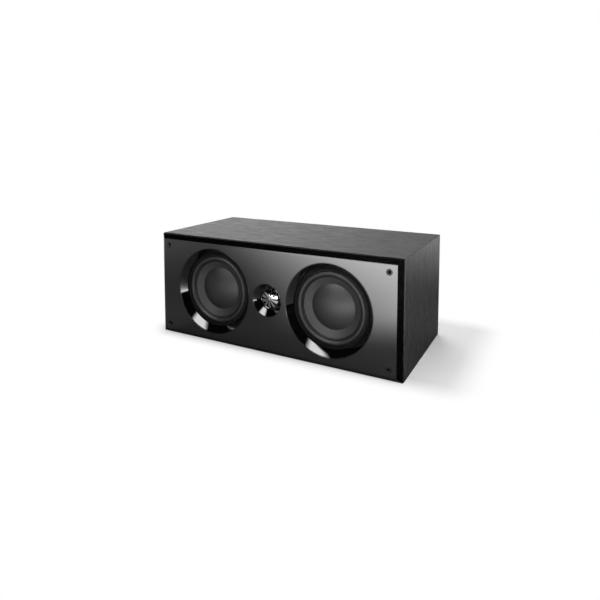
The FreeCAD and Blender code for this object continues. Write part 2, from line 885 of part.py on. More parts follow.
def tweeter_terminals():
    """Strip on the tweeter's rear with two blades."""
    rear = tweeter_yoke_rear + strip_thickness
    half_height = tweeter_strip_height / 2
    strip = block(
        (-tweeter_strip_width / 2, tweeter_strip_width / 2),
        (tweeter_yoke_rear, rear),
        (mid_height - half_height, mid_height + half_height),
    )
    blades = [
        block(
            (x - blade_thickness / 2, x + blade_thickness / 2),
            (tweeter_yoke_rear, rear + blade_length),
            (mid_height - blade_width / 2, mid_height + blade_width / 2),
        )
        for x in (-blade_spacing / 2, blade_spacing / 2)
    ]
    return fuse_all([strip] + blades)


def port_tube():
    """Reflex port with a flared mouth and a flange on the rear panel."""
    outer = port_radius + port_wall
    face = rear_face + port_flange_thickness
    mouth = port_radius + port_mouth_flare
    middle = port_mouth_flare * math.sqrt(0.5)
    half = profile(
        (port_radius, face - port_length),
        (port_radius, face - port_mouth_flare),
        (mouth - middle, face - port_mouth_flare + middle, mouth, face),
        (port_flange_radius, face),
        (port_flange_radius, rear_face),
        (outer, rear_face),
        (outer, face - port_length),
    )
    return turned(half, port_offset)


def terminal_cup():
    """Moulded tray let into the rear panel, with a drafted recess for the binding posts."""
    flange = rounded_plate(cup_flange_x, cup_flange_z, cup_flange_corner, rear_face, cup_face, cup_offset)
    body = rounded_plate(cup_body_width, cup_body_height, cup_corner_radius, cup_back, cup_face, cup_offset)
    mouth = rounded_wire(cup_width, cup_height, cup_corner_radius, cup_face, cup_offset)
    floor = rounded_wire(
        cup_width - 2 * cup_draft, cup_height - 2 * cup_draft, cup_corner_radius, cup_floor_depth, cup_offset
    )
    recess = Part.makeLoft([floor, mouth], True, True)
    tools = [recess]
    tools += [ring(stud_radius + running_gap, 0, cup_back, cup_floor_depth, x) for x in post_places.values()]
    tools += [countersink(cup_face, rear_face, *place) for place in cup_screw_places]
    return cut_all(fuse_all([flange, body]), tools)


def binding_stud(x):
    """Stud through the cup's floor, bored from its outer end for a plug."""
    half = profile(
        (0, stud_start),
        (stud_radius, stud_start),
        (stud_radius, stud_end),
        (banana_radius, stud_end),
        (banana_radius, stud_end - banana_depth),
        (0, stud_end - banana_depth),
    )
    return turned(half, x)


def post_cap(x):
    """Fluted cap that turns on the stud."""
    cap = ring(cap_outer_radius, stud_radius + running_gap, cap_start, cap_start + cap_length, x)
    flutes = [
        ring(flute_radius, 0, cap_start, cap_start + cap_length, *place)
        for place in around(cap_flutes, cap_outer_radius + flute_radius / 2, x, mid_height)
    ]
    return cut_all(cap, flutes)


def post_nut(x):
    """Hexagon nut that clamps the stud from inside."""
    corners = [
        Vector(px, y_at(cup_back - nut_thickness), pz)
        for px, pz in around(6, nut_across_flats / math.sqrt(3), x, mid_height)
    ]
    nut = Part.Face(Part.makePolygon(corners + corners[:1])).extrude(Vector(0, nut_thickness, 0))
    return nut.cut(ring(stud_radius + running_gap, 0, cup_back - nut_thickness, cup_back, x))


spacer_places = [
    (side * (board_width / 2 - spacer_inset), depth)
    for side in (-1, 1)
    for depth in (board_front + spacer_inset, board_rear - spacer_inset)
]


def pillar(radius, low, high, x, depth, bore=0.0):
    """Upright round piece, bored through where a bore is given."""
    solid = Part.makeCylinder(radius, high - low, Vector(x, y_at(depth), low))
    if bore:
        solid = solid.cut(Part.makeCylinder(bore, high - low, Vector(x, y_at(depth), low)))
    return solid


def crossover_board():
    """Circuit board on four spacers."""
    half = board_width / 2
    underside = board_top - board_thickness
    board = block((-half, half), (board_front, board_rear), (underside, board_top))
    holes = [pillar(board_hole_radius, underside, board_top, *place) for place in spacer_places]
    return cut_all(board, holes)


def board_spacer(x, depth):
    """Spacer between the cabinet floor and the board."""
    return pillar(spacer_radius, wall, wall + spacer_height, x, depth, board_hole_radius)


def board_screw(x, depth):
    """Screw that holds the board on a spacer."""
    head = pillar(board_screw_head, board_top, board_top + board_screw_head_height, x, depth)
    shank = pillar(screw_shank_radius, board_top - board_screw_length, board_top, x, depth)
    return fuse_all([head, shank])


def capacitor(x, depth, along_x=False):
    """Film capacitor lying on the board."""
    axis = Vector(1, 0, 0) if along_x else Vector(0, 1, 0)
    start = Vector(x, y_at(depth), board_top + capacitor_radius + glue_gap) - axis * (capacitor_length / 2)
    return Part.makeCylinder(capacitor_radius, capacitor_length, start, axis)


def resistor():
    """Ceramic resistor lying across the front of the board."""
    return block(
        (-resistor_length / 2, resistor_length / 2),
        (resistor_depth - resistor_side / 2, resistor_depth + resistor_side / 2),
        (board_top, board_top + resistor_side),
    )


def wadding(side):
    """Blanket over the floor and up the rear wall of an outer chamber."""
    near = brace_outer + wadding_gap
    far = inner_width / 2 - wadding_gap
    span = sorted((side * near, side * far))
    rear = rear_panel_front - wadding_gap
    floor = block(span, (rear - wadding_length, rear), (wall, wall + wadding_thickness))
    back = block(span, (rear - wadding_thickness, rear), (wall, wadding_top))
    blanket = fuse_all([floor, back])
    long_edges = edges_along(blanket, Vector(1, 0, 0))
    top_edges = [edge for edge in long_edges if edge.CenterOfMass.z > wall + wadding_thickness / 2]
    return blanket.makeFillet(wadding_edge_radius, top_edges)


def lead(*points):
    """Round lead along straight runs with the widest bends that the runs allow."""
    corners = [Vector(x, y_at(depth), z) for x, depth, z in points]
    here = corners[0]
    edges = []
    for before, corner, after in zip(corners, corners[1:], corners[2:]):
        cut_back = bend_share * min(corner.distanceToPoint(before), corner.distanceToPoint(after))
        inward_run = (before - corner).normalize()
        outward_run = (after - corner).normalize()
        turn = math.pi - inward_run.getAngle(outward_run)
        radius = cut_back / math.tan(turn / 2)
        bisector = (inward_run + outward_run).normalize()
        middle = corner + bisector * (math.hypot(cut_back, radius) - radius)
        first = corner + inward_run * cut_back
        last = corner + outward_run * cut_back
        edges.append(Part.LineSegment(here, first).toShape())
        edges.append(Part.Arc(first, middle, last).toShape())
        here = last
    edges.append(Part.LineSegment(here, corners[-1]).toShape())
    section = Part.Wire(Part.Circle(corners[0], corners[1] - corners[0], lead_radius).toShape())
    return Part.Wire(edges).makePipeShell([section], True, False)


def internal_leads():
    """Leads from the board to each driver, and from the two binding studs to the board."""
    runs = []
    for x in woofer_places.values():
        strip_x = x + inward(x) * (strip_inner + strip_outer) / 2
        board_x = math.copysign(woofer_lead_x, x)
        runs.append(
            lead(
                (strip_x, basket_rear + strip_thickness, mid_height),
                (strip_x, woofer_lead_depth, mid_height),
                (board_x, woofer_lead_depth, mid_height),
                (board_x, woofer_lead_depth, board_top),
            )
        )
    runs.append(
        lead(
            (0.0, tweeter_yoke_rear + strip_thickness, mid_height),
            (0.0, tweeter_lead_depth, mid_height),
            (0.0, tweeter_lead_depth, board_top),
        )
    )
    board_ends = {"red": (red_lead_x, red_lead_depth), "black": (black_lead_x, black_lead_depth)}
    for colour, (board_x, depth) in board_ends.items():
        x = post_places[colour]
        runs.append(
            lead(
                (x, stud_start, mid_height),
                (x, depth, mid_height),
                (board_x, depth, mid_height),
                (board_x, depth, board_top),
            )
        )
    return runs


os.makedirs("parts", exist_ok=True)

save("cabinet_wrap", cabinet_wrap())
save("baffle_board", baffle_board())
save("rear_panel", rear_panel())
save("brace_left", brace(-1))
save("brace_right", brace(1))
save("front_fascia", front_fascia())
save("grille_sockets", *[grille_socket(*place) for place in socket_places])

for side, x in woofer_places.items():
    save("trim_ring_" + side, trim_ring(x))
    save("gasket_" + side, gasket(x))
    save("surround_" + side, surround(x))
    save("cone_" + side, cone(x))
    save("dust_cap_" + side, dust_cap(x))
    save("coil_former_" + side, coil_former(x))
    save("coil_winding_" + side, coil_winding(x))
    save("spider_" + side, spider(x))
    save("basket_" + side, basket(side, x))
    save("top_plate_" + side, ring(plate_radius, winding_outer + coil_clearance, basket_rear, plate_rear, x))
    save("magnet_" + side, ring(magnet_radius, magnet_bore, plate_rear, magnet_rear, x))
    save("yoke_" + side, yoke(x))
woofer_screws = [screw(rim_depth, 1, *place) for places in woofer_screw_places.values() for place in places]
save("woofer_screws", *woofer_screws)
save("woofer_terminals", *[terminal_strip(x) for x in woofer_places.values()])

save("tweeter_flare", tweeter_flare())
save("tweeter_waveguide", tweeter_waveguide())
save("tweeter_dome", tweeter_dome())
save("tweeter_surround", tweeter_surround())
tweeter_coil_rear = dome_depth + tweeter_coil_length
save("tweeter_coil", ring(tweeter_coil_outer, tweeter_coil_inner, dome_depth, tweeter_coil_rear))
tweeter_gap_radius = tweeter_coil_outer + coil_clearance
tweeter_top_plate = ring(tweeter_plate_radius, tweeter_gap_radius, tweeter_plate_front, tweeter_plate_rear)
save("tweeter_top_plate", tweeter_top_plate)
tweeter_magnet = ring(tweeter_plate_radius, tweeter_magnet_bore, tweeter_plate_rear, tweeter_magnet_rear)
save("tweeter_magnet", tweeter_magnet)
save("tweeter_yoke", tweeter_yoke())
save("tweeter_screws", *[screw(tweeter_flange_front, 1, *place) for place in tweeter_screw_places])
save("tweeter_terminals", tweeter_terminals())

save("port_tube", port_tube())
save("terminal_cup", terminal_cup())
save("cup_screws", *[screw(cup_face, -1, *place) for place in cup_screw_places])
save("binding_studs", *[binding_stud(x) for x in post_places.values()])
collars = [
    ring(collar_radius, stud_radius + running_gap, cup_floor_depth, cup_floor_depth + collar_height, x)
    for x in post_places.values()
]
save("post_collars", *collars)
save("post_nuts", *[post_nut(x) for x in post_places.values()])
for colour, x in post_places.items():
    save("post_cap_" + colour, post_cap(x))

save("crossover_board", crossover_board())
save("board_spacers", *[board_spacer(*place) for place in spacer_places])
save("board_screws", *[board_screw(*place) for place in spacer_places])
coil_top = board_top + coil_height
coil_depths = (first_coil_depth, second_coil_depth)
inductors = [pillar(coil_outer, board_top, coil_top, coil_x, depth, coil_inner) for depth in coil_depths]
save("inductors", *inductors)
capacitors = [capacitor(x, capacitor_depth) for x in (near_capacitor_x, far_capacitor_x)]
save("capacitors", *capacitors, capacitor(0.0, cross_capacitor_depth, along_x=True))
save("resistors", resistor())
save("wadding_left", wadding(-1))
save("wadding_right", wadding(1))
save("internal_leads", *internal_leads())
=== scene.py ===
import bmesh
import bpy
import json
import math
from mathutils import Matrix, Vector
from mathutils.geometry import tessellate_polygon


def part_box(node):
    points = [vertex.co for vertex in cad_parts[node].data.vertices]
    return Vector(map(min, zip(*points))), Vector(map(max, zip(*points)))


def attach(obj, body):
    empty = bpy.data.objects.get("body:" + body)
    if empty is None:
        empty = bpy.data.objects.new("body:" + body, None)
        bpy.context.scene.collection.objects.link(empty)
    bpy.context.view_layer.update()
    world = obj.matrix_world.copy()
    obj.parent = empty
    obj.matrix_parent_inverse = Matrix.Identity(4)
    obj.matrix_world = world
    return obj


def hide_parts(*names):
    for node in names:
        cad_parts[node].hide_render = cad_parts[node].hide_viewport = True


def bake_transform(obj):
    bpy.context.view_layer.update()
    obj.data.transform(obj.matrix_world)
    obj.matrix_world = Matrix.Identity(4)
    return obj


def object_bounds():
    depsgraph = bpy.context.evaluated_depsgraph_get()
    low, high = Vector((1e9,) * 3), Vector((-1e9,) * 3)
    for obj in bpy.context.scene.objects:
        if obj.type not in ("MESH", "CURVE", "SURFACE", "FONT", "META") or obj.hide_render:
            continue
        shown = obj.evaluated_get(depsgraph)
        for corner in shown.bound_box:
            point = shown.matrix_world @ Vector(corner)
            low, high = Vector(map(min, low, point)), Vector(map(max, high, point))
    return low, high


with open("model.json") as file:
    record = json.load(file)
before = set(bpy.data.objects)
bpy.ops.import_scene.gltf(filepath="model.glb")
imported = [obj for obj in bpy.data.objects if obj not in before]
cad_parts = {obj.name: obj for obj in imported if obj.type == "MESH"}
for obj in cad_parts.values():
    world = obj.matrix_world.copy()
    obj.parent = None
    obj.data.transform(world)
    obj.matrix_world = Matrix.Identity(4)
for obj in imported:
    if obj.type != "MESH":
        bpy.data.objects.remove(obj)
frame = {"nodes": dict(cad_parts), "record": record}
cad_low, cad_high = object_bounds()

# Sizes are in millimetres. Depths count from the front plane, and radii from the axis of what is turned.
# A strip is the flat run beside an edge, and a round is the radius of a soft edge.
MM = 0.001
MIDDLE = 91.0
WOOFERS = {"left": -107.8, "right": 107.8}

# Fascia: half width and height of its face, the bevel's run across and back, rounds from front to rear
FASCIA_FACE = (216.5, 82.5)
FASCIA_BEVEL = (7.7, 6.8)
FASCIA_ROUNDS = (0.7, 0.8, 0.25)
FASCIA_EDGE_REAR = 9.2
FASCIA_REAR = 10.0
FASCIA_PAD_INSET = 8.5
FACE_STRIP = 2.0
WOOFER_HOLE = 73.6
TWEETER_HOLE = 27.1
HOLE_STRIP = 1.0
HOLE_ROUND = 0.3

# Grille sockets: seats in the fascia, and the cups' bore, flange and body
SOCKETS = [(side * 204.5, MIDDLE + rise * 71.5) for side in (-1, 1) for rise in (-1, 1)]
SOCKET_SEAT = 4.8
SOCKET_SEAT_DEPTH = 0.8
SOCKET_BORE = 3.9
SOCKET_STRIP = 0.6
SOCKET_ROUND = 0.15
PEG_CUP = (2.3, 4.65, 3.6)
PEG_CUP_FLOOR = 11.5
PEG_CUP_END = 14.0
PEG_CUP_ROUNDS = (0.5, 0.3)

# Woofer trim rings and gaskets
TRIM_MOUTH = 73.4
TRIM_THROAT = 63.8
TRIM_FLARE_DEPTH = 9.9
TRIM_TAPER = 0.2
TRIM_THROAT_ROUND = 0.5
TRIM_FOOT = 12.0
TRIM_FOOT_WIDTH = 2.7
TRIM_WALL = 2.0
TRIM_WALL_FRONT = 4.6
TRIM_BOW = 0.12
LIP_SETBACK = 0.25
LIP_WIDTH = 0.7
LIP_ROUNDS = (0.25, 0.5)
GASKET = (59.4, 63.4, 12.4, 14.0)
GASKET_ROUND = 0.4

# Woofer surrounds: half roll, the run-outs at its feet and the flat lands beside it
ROLL_CENTRE = 54.5
ROLL_RADIUS = 3.7
ROLL_FOOT = 14.0
ROLL_STOP = 8.0
ROLL_STEPS = (20, 14)
RUN_OUT = (0.3, 0.15)
RUN_OUT_ENDS = (0.9, 0.7)
SURROUND_OUTER = 63.4
SURROUND_INNER = 48.8
SURROUND_THICKNESS = 1.0
SURROUND_CHAMFER = (0.3, 0.4)

# Woofer cones, the bead of glue at their edge, whose matte black is partly painted shade in the groove, and
# dust caps
CONE_LIP = 51.2
CONE_EDGE = 48.8
CONE_FRONT = 15.0
CONE_NECK = 13.1
CONE_NECK_DEPTH = 36.0
CONE_WALL = 1.0
CONE_SLANT_WALL = 1.16
CONE_ROUND = 0.8
BEAD = (47.9, 49.6, 50.9, 13.8)
BEAD_ROUNDS = (0.2, 0.5)
BEAD_SEAT = 0.3
BEAD_BACK_INSET = 0.1
BEAD_TOE_DEPTH = 0.55
BEAD_HEEL = (0.8, 0.7)
CAP_RADIUS = 36.5
CAP_RISE = 9.0
CAP_WALL = 0.6
CAP_LIFT = 0.05
CAP_STEPS = 40

# Spiders
SPIDER_FRONT = 40.0
SPIDER_THICKNESS = 0.6
SPIDER_COLLAR = 1.6
SPIDER_LEDGE = 8.0
SPIDER_RIDGES = 5
SPIDER_RIDGE_HEIGHT = 1.2
SPIDER_RIDGE_STEPS = 8
SPIDER_SECTORS = 12
SPIDER_SECTOR_STEPS = 8

# Tweeter: flare with its flange and rear plate, waveguide and dome
FLARE_MOUTH = 26.9
FLARE_THROAT = 18.2
FLARE_THROAT_ROUND = 0.3
FLARE_DEPTH = 8.6
FLARE_GROOVE = 11.0
FLARE_BOW = 0.1
HORN_FLANGE = (37.0, 10.5, 13.5)
HORN_PLATE = (30.0, 16.5)
HORN_SEAT = 17.75
GUIDE_RING = 16.4
GUIDE_RING_INNER = 15.2
GUIDE_RING_SLOPE = 1.1
GUIDE_RING_ROUNDS = (0.2, 0.3)
GUIDE_CLEARANCE = 0.2
GUIDE_FRONT = 8.4
GUIDE_HUB = 2.4
GUIDE_HUB_DEPTH = 7.6
GUIDE_HUB_STEPS = 10
GUIDE_REAR = 13.2
GUIDE_FALL = 2.6
VANES = 10
VANE_WIDTHS = (0.6, 6.2)
VANE_START = 1.2
VANE_OVERLAP = 0.3
VANE_CROWN = 0.03
VANE_SOFT = 0.35
VANE_SOFT_SHARE = 0.4
VANE_LEAST_DEPTH = 1.0
VANE_STATIONS = 20
VANE_STEPS = 8
DOME_RADIUS = 12.5
DOME_RISE = 5.4
DOME_DEPTH = 16.1
DOME_WALL = 0.4
DOME_CLEARANCE = 0.9
DOME_RIM = (12.38, 12.8, 15.97, 16.08)
DOME_STEPS = 24

# Back: reflex port, terminal cup and its screws
REAR_FACE = 219.0
FITTING_FACE = 221.3
PORT_X = 107.8
PORT_BORE = 21.0
PORT_OUTER = 23.5
PORT_MOUTH_RADIUS = 8.0
PORT_MOUTH_STEPS = 16
PORT_FLANGE = 32.0
PORT_LENGTH = 98.0
PORT_ROUNDS = (0.8, 0.7)
CUP_X = -107.8
CUP_MOUTH = (33.0, 23.0, 6.0)
CUP_MOUTH_ROUND = 0.8
CUP_MOUTH_STRIP = 1.5
CUP_FLANGE = 9.0
CUP_FLANGE_CORNER = 5.0
CUP_FLANGE_ROUND = 0.7
CUP_FLANGE_STRIP = 0.85
CUP_DRAFT = 2.0
CUP_FLOOR = 201.3
CUP_FLOOR_ROUND = 1.2
CUP_FLOOR_STRIP = 3.0
CUP_BACK = 198.8
CUP_BACK_ROUND = 1.0
CUP_BACK_STRIP = 4.0
CUP_WALL = 1.5
CUP_SCREWS = [(CUP_X + side * 37.8, MIDDLE + rise * 27.8) for side in (-1, 1) for rise in (-1, 1)]
SCREW_HEAD = 2.6
SCREW_HEAD_STRIP = 0.5
SCREW_HEAD_EDGE = 0.05
SCREW_HEAD_ROUND = 0.12
SCREW_HEAD_HEIGHT = 1.2
SCREW_SHANK = 1.6
SCREW_LENGTH = 14.0
SCREW_POINT = 2.0
SCREW_SINK = 2.9
SCREW_SINK_DEPTH = 1.3
SCREW_CLEARANCE = 0.3
RECESS = (0.42, 1.45, 1.1, 0.55)

# Binding posts: studs, collars and fluted caps
POSTS = {"red": CUP_X + 13.0, "black": CUP_X - 13.0}
STUD = 2.95
STUD_ENDS = (186.8, 219.5)
STUD_CHAMFER = 0.4
STUD_TOP_CHAMFER = 0.35
STUD_PLAIN_END = 2.4
STUD_BORE = 2.05
STUD_BORE_END = 203.5
STUD_BORE_CHAMFER = 0.3
STUD_DRILL_TIP = 1.2
THREAD_PITCH = 0.6
THREAD_DEPTH = 0.3
THREAD_GAP = 0.1
COLLAR = (6.2, 3.0, 203.8)
COLLAR_ROUNDS = (0.6, 0.3)
KNOB_RADIUS = 6.4
KNOB_BORE = 3.0
KNOB_ENDS = (205.5, 218.5)
KNOB_ROUNDS = (0.4, 0.9, 0.2)
KNOB_RECESS = (4.6, 4.2, 0.5)
KNOB_SKIRT = 1.6
KNOB_FLUTES = 12
FLUTE_RADIUS = 1.0
FLUTE_POINTS = 16

# Fineness of the meshes
SEGMENTS = 192
FITTING_SEGMENTS = 64
SMALL_SEGMENTS = 48
ROUND_STEPS = 6
CORNER_STEPS = 8
BOW_STEPS = 16
SUPPORT = 0.12
SHARP_ANGLE = math.radians(35.0)
TINY = 1e-6


def at(x, depth, z):
    """Point in metres from millimetres, with the depth counted from the front plane."""
    return Vector((x * MM, cad_low.y + depth * MM, z * MM))


def filleted(points):
    """Profile whose points with a third number are rounded by it, with a short straight run beside each."""
    result = []
    count = len(points)
    for index, point in enumerate(points):
        here = Vector(point[:2])
        if len(point) < 3:
            result.append(here)
            continue
        before = (Vector(points[index - 1][:2]) - here).normalized()
        after = (Vector(points[(index + 1) % count][:2]) - here).normalized()
        half_angle = before.angle(after) / 2
        reach = point[2] / math.tan(half_angle)
        centre = here + (before + after).normalized() * point[2] / math.sin(half_angle)
        first = here + before * reach - centre
        last = here + after * reach - centre
        turn = math.atan2(first.x * last.y - first.y * last.x, first.dot(last))
        across = Vector((-first.y, first.x))
        result.append(here + before * (reach + SUPPORT))
        for step in range(ROUND_STEPS + 1):
            angle = turn * step / ROUND_STEPS
            result.append(centre + first * math.cos(angle) + across * math.sin(angle))
        result.append(here + after * (reach + SUPPORT))
    return result


def arc(centre, radius, start, end, steps):
    """Points on an arc between two angles in degrees."""
    angles = [math.radians(start + (end - start) * step / steps) for step in range(steps + 1)]
    return [(centre[0] + radius * math.cos(a), centre[1] + radius * math.sin(a)) for a in angles]


def bowed(start, end, bow):
    """Points on a shallow arc whose middle stands off the straight line by the bow."""
    first = Vector(start)
    chord = Vector(end) - first
    side = Vector((-chord.y, chord.x)).normalized()
    radius = chord.length**2 / (8 * bow) + bow / 2
    half_angle = math.asin(chord.length / (2 * radius))
    centre = first + chord / 2 - side * (radius - bow)
    points = []
    for step in range(BOW_STEPS + 1):
        angle = half_angle * (2 * step / BOW_STEPS - 1)
        along = chord.normalized() * math.sin(angle)
        points.append(centre + (along + side * math.cos(angle)) * radius)
    return points


def sphere_of(radius, rise):
    """Radius of the sphere whose cap has a rim radius and a rise."""
    return (radius**2 + rise**2) / (2 * rise)


def cap_profile(radius, rise, rim, steps):
    """Profile of a spherical cap from its crest to a rim at a depth."""
    sphere = sphere_of(radius, rise)
    top = rim - rise
    points = []
    for step in range(steps + 1):
        reach = radius * step / steps
        points.append((reach, top + sphere - math.sqrt(sphere**2 - reach**2)))
    return points


def inner_skin(points, wall):
    """The other side of a shell's profile, one wall behind it and back towards the axis."""
    return [(max(radius - wall, 0.0), depth + wall) for radius, depth in reversed(points)]


def piece(name, mesh):
    """Object made of a finished mesh, smooth but for its sharp edges."""
    bmesh.ops.recalc_face_normals(mesh, faces=mesh.faces)
    data = bpy.data.meshes.new(name)
    mesh.to_mesh(data)
    mesh.free()
    data.shade_smooth()
    data.set_sharp_from_angle(angle=SHARP_ANGLE)
    made = bpy.data.objects.new(name, data)
    bpy.context.scene.collection.objects.link(made)
    return made


def join_rows(mesh, rows, closed=False):
    """Faces between rows of points, where a row of one point is a tip."""
    for first, second in zip(rows, rows[1:] + rows[:1] if closed else rows[1:]):
        count = max(len(first), len(second))
        for index in range(count):
            after = (index + 1) % count
            corners = [
                first[index % len(first)],
                first[after % len(first)],
                second[after % len(second)],
                second[index % len(second)],
            ]
            corners = list(dict.fromkeys(corners))
            if len(corners) > 2:
                mesh.faces.new(corners)


def turned_rows(mesh, points, x, z, segments=SEGMENTS):
    """Rows of points of a profile turned about the depth direction."""
    rows = []
    for radius, depth in points:
        if radius < TINY:
            rows.append([mesh.verts.new(at(x, depth, z))])
            continue
        row = []
        for index in range(segments):
            angle = 2 * math.pi * index / segments
            row.append(mesh.verts.new(at(x + radius * math.cos(angle), depth, z + radius * math.sin(angle))))
        rows.append(row)
    return rows


def lathe(name, points, x=0.0, closed=True):
    """Piece turned from a profile of radius and depth pairs."""
    mesh = bmesh.new()
    join_rows(mesh, turned_rows(mesh, points, x, MIDDLE), closed)
    return piece(name, mesh)


def outline(half_width, half_height, radius, x=0.0):
    """Rectangle as x and z pairs, its corners rounded or sharp, with a short straight run beside each."""
    points = []
    for quarter, (side, rise) in enumerate(((1, 1), (-1, 1), (-1, -1), (1, -1))):
        centre = (x + side * (half_width - radius), MIDDLE + rise * (half_height - radius))
        start = 90 * quarter
        corner = arc(centre, radius, start, start + 90, CORNER_STEPS) if radius else [centre]
        lead_x = SUPPORT * math.sin(math.radians(start))
        lead_z = SUPPORT * math.cos(math.radians(start))
        first = (corner[0][0] + lead_x, corner[0][1] - lead_z)
        last = (corner[-1][0] - lead_z, corner[-1][1] - lead_x)
        points += [first, *corner, last]
    return points


def fill(mesh, loops):
    """Flat faces inside the first loop of points and outside the others."""
    flat = [[Vector((v.co.x, v.co.z, 0)) for v in loop] for loop in loops]
    points = [v for loop in loops for v in loop]
    for corners in tessellate_polygon(flat):
        mesh.faces.new([points[index] for index in corners])


# Inputs and output of a mix node, for numbers and for colours
MIX_SOCKETS = {"FLOAT": (2, 3, 0), "RGBA": (6, 7, 2)}


def feed(tree, socket, value):
    """Input of a shader node, linked to a node or a socket, or set to a value."""
    if isinstance(value, bpy.types.Node):
        value = value.outputs[0]
    if isinstance(value, bpy.types.NodeSocket):
        tree.links.new(value, socket)
    else:
        socket.default_value = value


def add(tree, kind, *values, **settings):
    """Shader node with its inputs set or linked, by place or by name, and its own settings."""
    node = tree.nodes.new("ShaderNode" + kind)
    named = {}
    for name, value in settings.items():
        if name[0].isupper():
            named[name.replace("_", " ")] = value
        else:
            setattr(node, name, value)
    for place, value in [*enumerate(values), *named.items()]:
        feed(tree, node.inputs[place], value)
    return node


def mix(tree, kind, factor, first, second):
    """Number or colour between two others."""
    low, high, result = MIX_SOCKETS[kind]
    node = add(tree, "Mix", factor, data_type=kind)
    feed(tree, node.inputs[low], first)
    feed(tree, node.inputs[high], second)
    return node.outputs[result]


def ramp(tree, value, span, levels, smooth=False):
    """Levels that a value runs through over a span, straight or with soft ends."""
    course = "SMOOTHSTEP" if smooth else "LINEAR"
    return add(tree, "MapRange", value, *span, *levels, interpolation_type=course)


def shade(level):
    """Neutral colour of one level."""
    return (level, level, level, 1.0)


def new_material(name):
    """Empty node material with its output."""
    made = bpy.data.materials.new(name)
    made.use_nodes = True
    made.node_tree.nodes.clear()
    return made, made.node_tree, add(made.node_tree, "OutputMaterial")


UNIT = (0.0, 1.0)
NOISE_SPAN = (0.3, 0.7)
MOTTLE = {"Detail": 5.0, "Roughness": 0.6}
RELIEF_DETAIL = 4.0
RELIEF_DEPTH = 0.0004
RELIEF_FINENESS = 3


def mottled(name, dark, light, roughness, scale, bump=0.0, bump_scale=None, **settings):
    """Finish whose colour, gloss and surface vary with noise at one scale."""
    made, tree, output = new_material(name)
    where = add(tree, "TexCoord").outputs["Object"]
    noise = add(tree, "TexNoise", Vector=where, Scale=scale, **MOTTLE)
    colour = mix(tree, "RGBA", noise, dark, light)
    gloss = ramp(tree, noise, NOISE_SPAN, roughness)
    shader = add(tree, "BsdfPrincipled", Base_Color=colour, Roughness=gloss, **settings)
    if bump:
        fine_scale = bump_scale or scale * RELIEF_FINENESS
        fine = add(tree, "TexNoise", Vector=where, Scale=fine_scale, Detail=RELIEF_DETAIL)
        relief = add(tree, "Bump", Strength=bump, Distance=RELIEF_DEPTH, Height=fine)
        feed(tree, shader.inputs["Normal"], relief)
    feed(tree, output.inputs[0], shader)
    return made


# Black ash: how often each kind of line comes along and across the grain in a metre, and its detail
BANDS = ((18, 150, 1), 4.0)
FLECKS = ((22, 560, 1), 3.0)
PORES = ((60, 1500, 1), 4.0)
BAND_SPAN = (0.38, 0.62)
FLECK_SPAN = (0.35, 0.65)
PORE_SPAN = (0.52, 0.66)
ASH_LEVELS = (0.005, 0.022)
PORE_LEVEL = 0.003
FLECK_GLOSS = (-0.12, 0.12)
PORE_GLOSS = (0.28, 0.40)
PORE_RELIEF = 0.2
PORE_DEPTH = 0.0003
FACE_ON = 0.7


def black_ash(name):
    """Black ash vinyl: long grain round the wrap, with fine open pores."""
    made, tree, output = new_material(name)
    where = add(tree, "SeparateXYZ", add(tree, "TexCoord").outputs["Object"])
    facing = add(tree, "SeparateXYZ", add(tree, "NewGeometry").outputs["Normal"])
    lines = []
    for axis in (0, 1):
        slant = add(tree, "Math", facing.outputs[axis], operation="ABSOLUTE")
        turned = add(tree, "Math", slant, FACE_ON, operation="GREATER_THAN")
        lines.append(mix(tree, "FLOAT", turned, where.outputs[axis], where.outputs[2]))
    place = add(tree, "CombineXYZ", *lines, 0.0)
    noises = []
    for often, detail in (BANDS, FLECKS, PORES):
        stretched = add(tree, "Mapping", place, Scale=often)
        noises.append(add(tree, "TexNoise", Vector=stretched, Scale=1.0, Detail=detail))
    bands, flecks, pores = noises
    open_pores = ramp(tree, pores, PORE_SPAN, UNIT)
    low, high = ASH_LEVELS
    grain = mix(tree, "RGBA", ramp(tree, bands, BAND_SPAN, UNIT), shade(low), shade(high))
    colour = mix(tree, "RGBA", open_pores, grain, shade(PORE_LEVEL))
    streak = ramp(tree, flecks, FLECK_SPAN, FLECK_GLOSS)
    gloss = add(tree, "Math", ramp(tree, pores, NOISE_SPAN, PORE_GLOSS), streak, operation="ADD")
    height = add(tree, "Math", open_pores, -1.0, operation="MULTIPLY")
    relief = add(tree, "Bump", Strength=PORE_RELIEF, Distance=PORE_DEPTH, Height=height)
    shader = add(tree, "BsdfPrincipled", Base_Color=colour, Roughness=gloss, Normal=relief)
    feed(tree, output.inputs[0], shader)
    return made


BLACK = (shade(0.0008), shade(0.0016))
DARK = (shade(0.010), shade(0.018))
METAL = (shade(0.45), shade(0.60))

